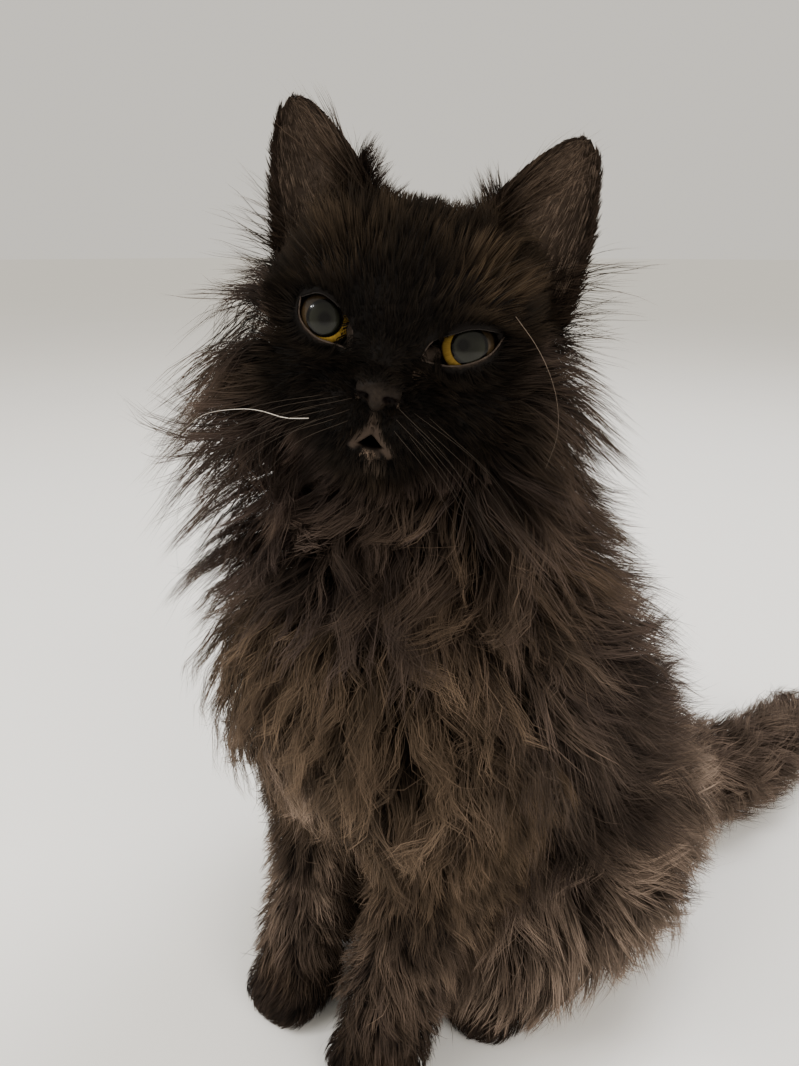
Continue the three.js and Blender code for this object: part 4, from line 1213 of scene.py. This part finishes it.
fur("coat_face", is_head & (long_head < 0.5), mix(0.97, 1.5, snout), 4, 0.26, face_length, rings=4, lock=4.0,
    pull=0.2, pinch=0.6, stray=0.8, roll=0.7, under=0.2, veer=0.10, curl=0.2, level=(0.86, 1.02), rise=0.8)
fur("coat_head", is_head & (long_head >= 0.5), 1.75, 7, 0.32, (1.12, 7), crimp=0.8,
    wavelength=24, lock=8.0, pull=0.16, pinch=0.85, stray=8.0, veer=0.25, curl=0.4, level=(0.9, 1.2),
    swell=head_swell)
fur("coat_ruff", main == NECK, mix(2.1, 1.95, smooth(-x, 10, 40)), 7, 0.37, (0.82, 9),
    rings=6, crimp=ruff_crimp, wavelength=17, lock=9.0, pull=0.72, pinch=0.3, stray=6.0, veer=0.32, curl=0.7,
    level=(0.92, 1.12), swell=ruff_swell)
fur("coat_chest", chest_front, 2.4, 7, 0.39, (1.1, 10), rings=6,
    crimp=lambda p: mix(1.4, 2.5, smooth(p[:, 2], 135, 170)), wavelength=19, lock=9.0, pull=0.68, pinch=0.28,
    stray=5.5, veer=0.24, curl=0.45, swell=lambda p: 0.14 * smooth(-p[:, 0], 15, 42))
for s, side in SIDES:
    shared = dict(gap=2.85 - 0.1 * s, strands=7, width=0.42, wavelength=26, lock=10.0, veer=0.3, curl=0.5)
    fur("coat_back_" + side, (main == TORSO) & ~chest_front & ((x > 0) == (s > 0)), stretch=(1.15, 9),
        crimp=0.8, pull=0.42, pinch=0.5, stray=9.0, level=(0.98, 1.2), swell=back_swell, **shared)
    fur("coat_thigh_" + side, (main == THIGH) & (x * s > 0), stretch=thigh_length,
        crimp=0.7, pull=0.45, pinch=0.42, stray=7.0, **shared)
fur("coat_legs", main == FORELEG, 2.0, 6, 0.34, (1.2, 4), rings=4, crimp=0.5, lock=6.0,
    pull=0.22, pinch=0.75, stray=3.5, veer=0.15)
fur("coat_feet", (main == PAW) | (main == FOOT), 1.56, 5, 0.40, (1.2, 2.5), rings=3,
    lock=4.0, pull=0.2, pinch=0.6, stray=0.8, under=0.2, veer=0.12, curl=0.15, level=(0.85, 1.0))
fur("coat_tail", main == TAIL, 1.97, 7, 0.44, (1.15, 6), crimp=1.4, wavelength=18,
    lock=9.0, pull=0.45, pinch=0.45, stray=8.0, veer=0.4, curl=0.6, rise=0.5)
fur("coat_flyaway", ~is_head & (main != PAW) & (main != FOOT), 5.5, 1, 0.26, (1.0, 8), rings=6, crimp=2.6,
    wavelength=30, lock=3.0, pull=0.0, stray=10.0, under=0.0, veer=0.5, curl=0.9, level=(1.0, 1.15))


def ear_paths(s, u, v, length, out, drift, lift):
    """Hairs that run up the ear's sheet and off its edge."""
    sheet = EAR_HEIGHT + EAR_ROOT
    path = [ear_point(s, u + drift * t, v + length * t / sheet, out + lift * t) for t in GUIDE_SHARES]
    across = ear_point(s, u + 0.05, v, out) - ear_point(s, u - 0.05, v, out)
    upward = ear_point(s, u, v + 0.03, out) - ear_point(s, u, v - 0.03, out)
    return from_head(np.stack(path, 1)), unit(np.cross(across, upward)) * np.sign(lift)[:, None] * -s


def ups_along(normals):
    """A normal in the head's frame for each guide, kept the same all along it."""
    return np.repeat((normals @ HEAD_AXES.T)[:, None], GUIDE_NODES, axis=1)


def ear_uv(s, u, v, back=0):
    left, bottom, width, height = EAR_ISLAND
    cell = (0 if s > 0 else 2) + back + (np.clip(u, -1, 1) + 1) / 2 * 0.95
    return np.stack([left + width / 4 * cell, bottom + height * 0.95 * np.clip(v, 0, 1)], 1)


def ear_fur(name, s, count, span_u, span_v, length, out, lift, drift, strands, width, back, tone):
    n = int(count * few)
    spans = span_u, span_v, length, (0.5, 1.5), (0.6, 1.4)
    u, v, size, wander, rise = (random.uniform(*span, n) for span in spans)
    path, normals = ear_paths(s, u, v, size * (1 - 0.72 * v ** 3), out, drift * wander, lift * rise)
    tufts(name, path, ups_along(normals), ear_uv(s, u, v, back), strands, width, 0.9, 0.5, 1.5, tone)


EAR_BACK, EAR_INSIDE = dict(brown=0.12, pale=0.0, face=0.4), dict(brown=0.7, pale=0.75, face=0.0)
EAR_EDGE = dict(brown=0.16, pale=0.0, face=0.4)
for s, side in SIDES:
    ear_fur("coat_ear_back_" + side, s, 1250, (-1.0, 1.0), (0.2, 1.0), (5, 8), 0.9, 2.2, 0.0, 4, 0.46, 1,
            EAR_BACK)
    ear_fur("coat_ear_inner_" + side, s, 700, (-0.92, 0.92), (0.24, 0.96), (4, 8), -0.9, -1.3, 0.0, 3,
            0.2, 0, EAR_INSIDE)
    for edge, span, drift in (("inside", (-1.03, -0.9), -0.12), ("outside", (0.9, 1.03), 0.12)):
        ear_fur(f"coat_ear_{edge}_{side}", s, 450, span, (0.15, 0.94), (5, 9), 0.0, -1.2, drift, 4, 0.36, 0,
                EAR_EDGE)


WISP_TONE = dict(brown=0.42, pale=0.08, face=0.2)


def wisps(name, s, count, span_u, span_v, heading, length, droop, spread, strands=3, tone=WISP_TONE):
    """Long fine hairs that stand out of the ear's opening."""
    u, v = random.uniform(*span_u, count), random.uniform(*span_v, count)
    way = unit(np.array(heading, float) * (s, 1, 1) + random.normal(0, spread, (count, 3)))
    size = random.uniform(*length, count)[:, None, None]
    t = GUIDE_SHARES[:, None]
    path = ear_point(s, u, v, -1.2)[:, None] + way[:, None] * size * t
    path = path + np.array(droop) * np.array((s, 1, 1)) * size * t ** 2
    tufts(name, from_head(path), ups_along(unit(np.cross(way, (0.2, 1, 0.1)))), ear_uv(s, u, v), strands,
          0.26, 0.8, 1.6, 5.0, tone, rings=6, crimp=0.8, wavelength=26)


for s, side in SIDES:
    wisps("coat_ear_wisps_" + side, s, 150, (-1.0, -0.35), (0.12, 0.62), (0.62, -0.25, 0.75), (16, 30),
          (0.15, 0, 0.05), 0.16)
    wisps("coat_ear_crest_" + side, s, 260, (-1.0, -0.5), (0.16, 0.5), (-0.35, -0.2, 0.9), (7, 15),
          (-0.1, 0, 0), 0.2, 6, dict(brown=0.08, pale=0.0, face=0.3))
    wisps("coat_ear_base_" + side, s, 130, (0.5, 1.0), (0.0, 0.42), (0.9, -0.25, 0.42), (16, 36),
          (0.05, 0, -0.12), 0.22)

# Wet tufts at the eyes, at the lower lip and at the nose
TEARS = [(-13.4, -7.6), (-14.8, -8.4), (-15.6, -10.0), (-16.4, -11.6), (-12.6, -6.4),
         (9.0, -5.4), (10.2, -6.2), (11.6, -6.6), (10.4, -8.0), (11.0, -9.6)]
LIP_DROPS = [(-1.4, -34.6), (0.4, -34.9), (2.0, -35.0), (3.4, -34.8), (0.8, -36.0), (2.4, -36.2)]
NOSE_DROPS = [(-6.0, -17.2), (-5.4, -18.2), (7.6, -16.2), (7.9, -17.8)]


def dabs(name, places, heading, length, pale, strands=5):
    """Short wet tufts that stand out of the face at places."""
    n = 4 * len(places)
    places = np.repeat(np.array(places, float), 4, 0) + random.normal(0, 0.5, (n, 2))
    start = np.array([on_face(at, 0.3) for at in places])
    way = unit(np.array(heading, float) + random.normal(0, 0.3, (n, 3)))
    t = GUIDE_SHARES[:, None]
    path = start[:, None] + way[:, None] * random.uniform(*length, n)[:, None, None] * t
    path = path + np.array((0, 0.3, -0.5)) * length[1] * t ** 2
    uv = unwrap(from_head(start), np.full(n, HEAD))
    ups = ups_along(np.tile((0.0, -1.0, 0.2), (n, 1)))
    tufts(name, from_head(path), ups, uv, strands, 0.4, 0.8, 0.5, 0.6, dict(brown=0.5, pale=pale, face=0.0))


dabs("coat_tears", TEARS, (0, -0.4, -1.0), (2.4, 4.6), 0.3, 7)
dabs("coat_lip", LIP_DROPS, (0, -0.7, -0.8), (0.8, 1.8), 0.3)
dabs("coat_nose_rim", NOSE_DROPS, (0, -0.5, -0.9), (0.8, 1.4), 0.5)

# Whiskers: rows on each side of the muzzle, over the eyes, and three that stand out
def hair_line(*points):
    return from_head(curve_through(np.array(points, float), 16)[0])


dark_lines = []
for s in (1, -1):
    for row in range(3):
        for k in range(3):
            rx, ry, rz = NOSE_X + s * (7.5 + 4.2 * k), -50 + 2.6 * k, -18.5 - 3.6 * row - 0.5 * k
            out = 40 + 10 * k - 5 * row + random.uniform(-6, 6)
            fall = (0.82 if s > 0 else 0.6) + 0.2 * row + random.uniform(-0.12, 0.2)
            halfway = rx + s * out * 0.5, ry - 7 + 3 * k, rz - out * fall * 0.32
            end = rx + s * out, ry + 4 + 5 * k, rz - out * fall
            dark_lines.append(hair_line((rx, ry, rz), halfway, end))
    for k in range(3):
        dark_lines.append(hair_line((s * (20 + 3 * k), -31, 14 + k), (s * (26 + 6 * k), -38, 26),
                                    (s * (36 + 8 * k), -34, 33 + k)))
dark_lines.append(hair_line(
    (-24, -46, -30), (-41, -47, -41), (-52, -45, -49), (-60, -43, -64), (-60, -41, -86), (-57, -39, -101)))
brown_line = hair_line(
    (37, -33, 15), (45.2, -37, 7.9), (51.8, -38, -0.2), (56.3, -39, -8.9), (58.4, -40, -18.3),
    (57.4, -40, -28.7))
pale_line = hair_line(
    (-20, -46, -28.5), (-27.1, -48, -29.7), (-34.9, -48, -29.2), (-42.1, -48, -30.1), (-53.4, -47, -34.3),
    (-61.1, -45, -41.3))
WHISKER_LINES = (("dark", dark_lines, 0.078), ("brown", [brown_line], 0.078), ("pale", [pale_line], 0.16))
for kind, lines, thick in WHISKER_LINES:
    taper = [np.linspace(thick, 0.022, len(line)) for line in lines]
    make_mesh("whiskers_" + kind, *tubes(lines, taper, 5), WHISKERS[kind])

# Stage: a plain pale floor, soft light and the camera where the photograph was taken from
floor_material = plain_material("floor", (0.93, 0.915, 0.88), (0.96, 0.945, 0.91), 0.6, 2.5, specular=0.0)
bpy.ops.mesh.primitive_plane_add(size=60, location=(0, 0, -0.0005))
floor = bpy.context.object
floor.name = "floor"
floor.data.materials.append(floor_material)


def lamp(name, at, toward, size, power, color=(1, 1, 1), mirrored=False):
    light = bpy.data.lights.new(name, "AREA")
    light.shape, light.size, light.energy, light.color = "DISK", size, power, color
    holder = bpy.data.objects.new(name, light)
    holder.location = at
    holder.visible_glossy = mirrored
    holder.rotation_mode = "QUATERNION"
    holder.rotation_quaternion = (Vector(toward) - Vector(at)).to_track_quat("-Z", "Y")
    bpy.context.scene.collection.objects.link(holder)


chest = (0.0, -0.1, 0.2)
lamp("key", (-0.5, -1.3, 1.7), chest, 1.1, 19, (1.0, 0.96, 0.91))
lamp("fill", (1.5, -0.5, 1.0), chest, 1.2, 18, (1.0, 0.95, 0.90))
lamp("top", (0.2, 0.9, 1.9), chest, 1.2, 30, (0.97, 0.97, 1.0))
lamp("glint_near", (-0.93, -1.385, 1.416), chest, 0.14, 9.0, mirrored=True)
lamp("glint_far", (-0.66, -1.42, 1.50), chest, 0.10, 4.0, mirrored=True)
world = bpy.data.worlds.new("studio")
world.use_nodes = True
world.node_tree.nodes["Background"].inputs["Color"].default_value = (0.95, 0.90, 0.81, 1)
world.node_tree.nodes["Background"].inputs["Strength"].default_value = 0.9
bpy.context.scene.world = world

FOCAL = 801.0
PHOTO_HEIGHT = 1066.0
CAMERA_AT = (204.7, -159.5, 340.0)
CAMERA_PITCH, CAMERA_TURN = 19.5, 42.0
SENSOR = 36.0
camera = bpy.data.cameras.new("camera")
camera.sensor_fit, camera.sensor_width = "AUTO", SENSOR
camera.lens = FOCAL / PHOTO_HEIGHT * SENSOR
camera.clip_start = 0.01
viewer = bpy.data.objects.new("camera", camera)
viewer.location = placed(CAMERA_AT)
viewer.rotation_euler = (math.radians(90 - CAMERA_PITCH), 0, math.radians(CAMERA_TURN))
bpy.context.scene.collection.objects.link(viewer)
bpy.context.scene.camera = viewer
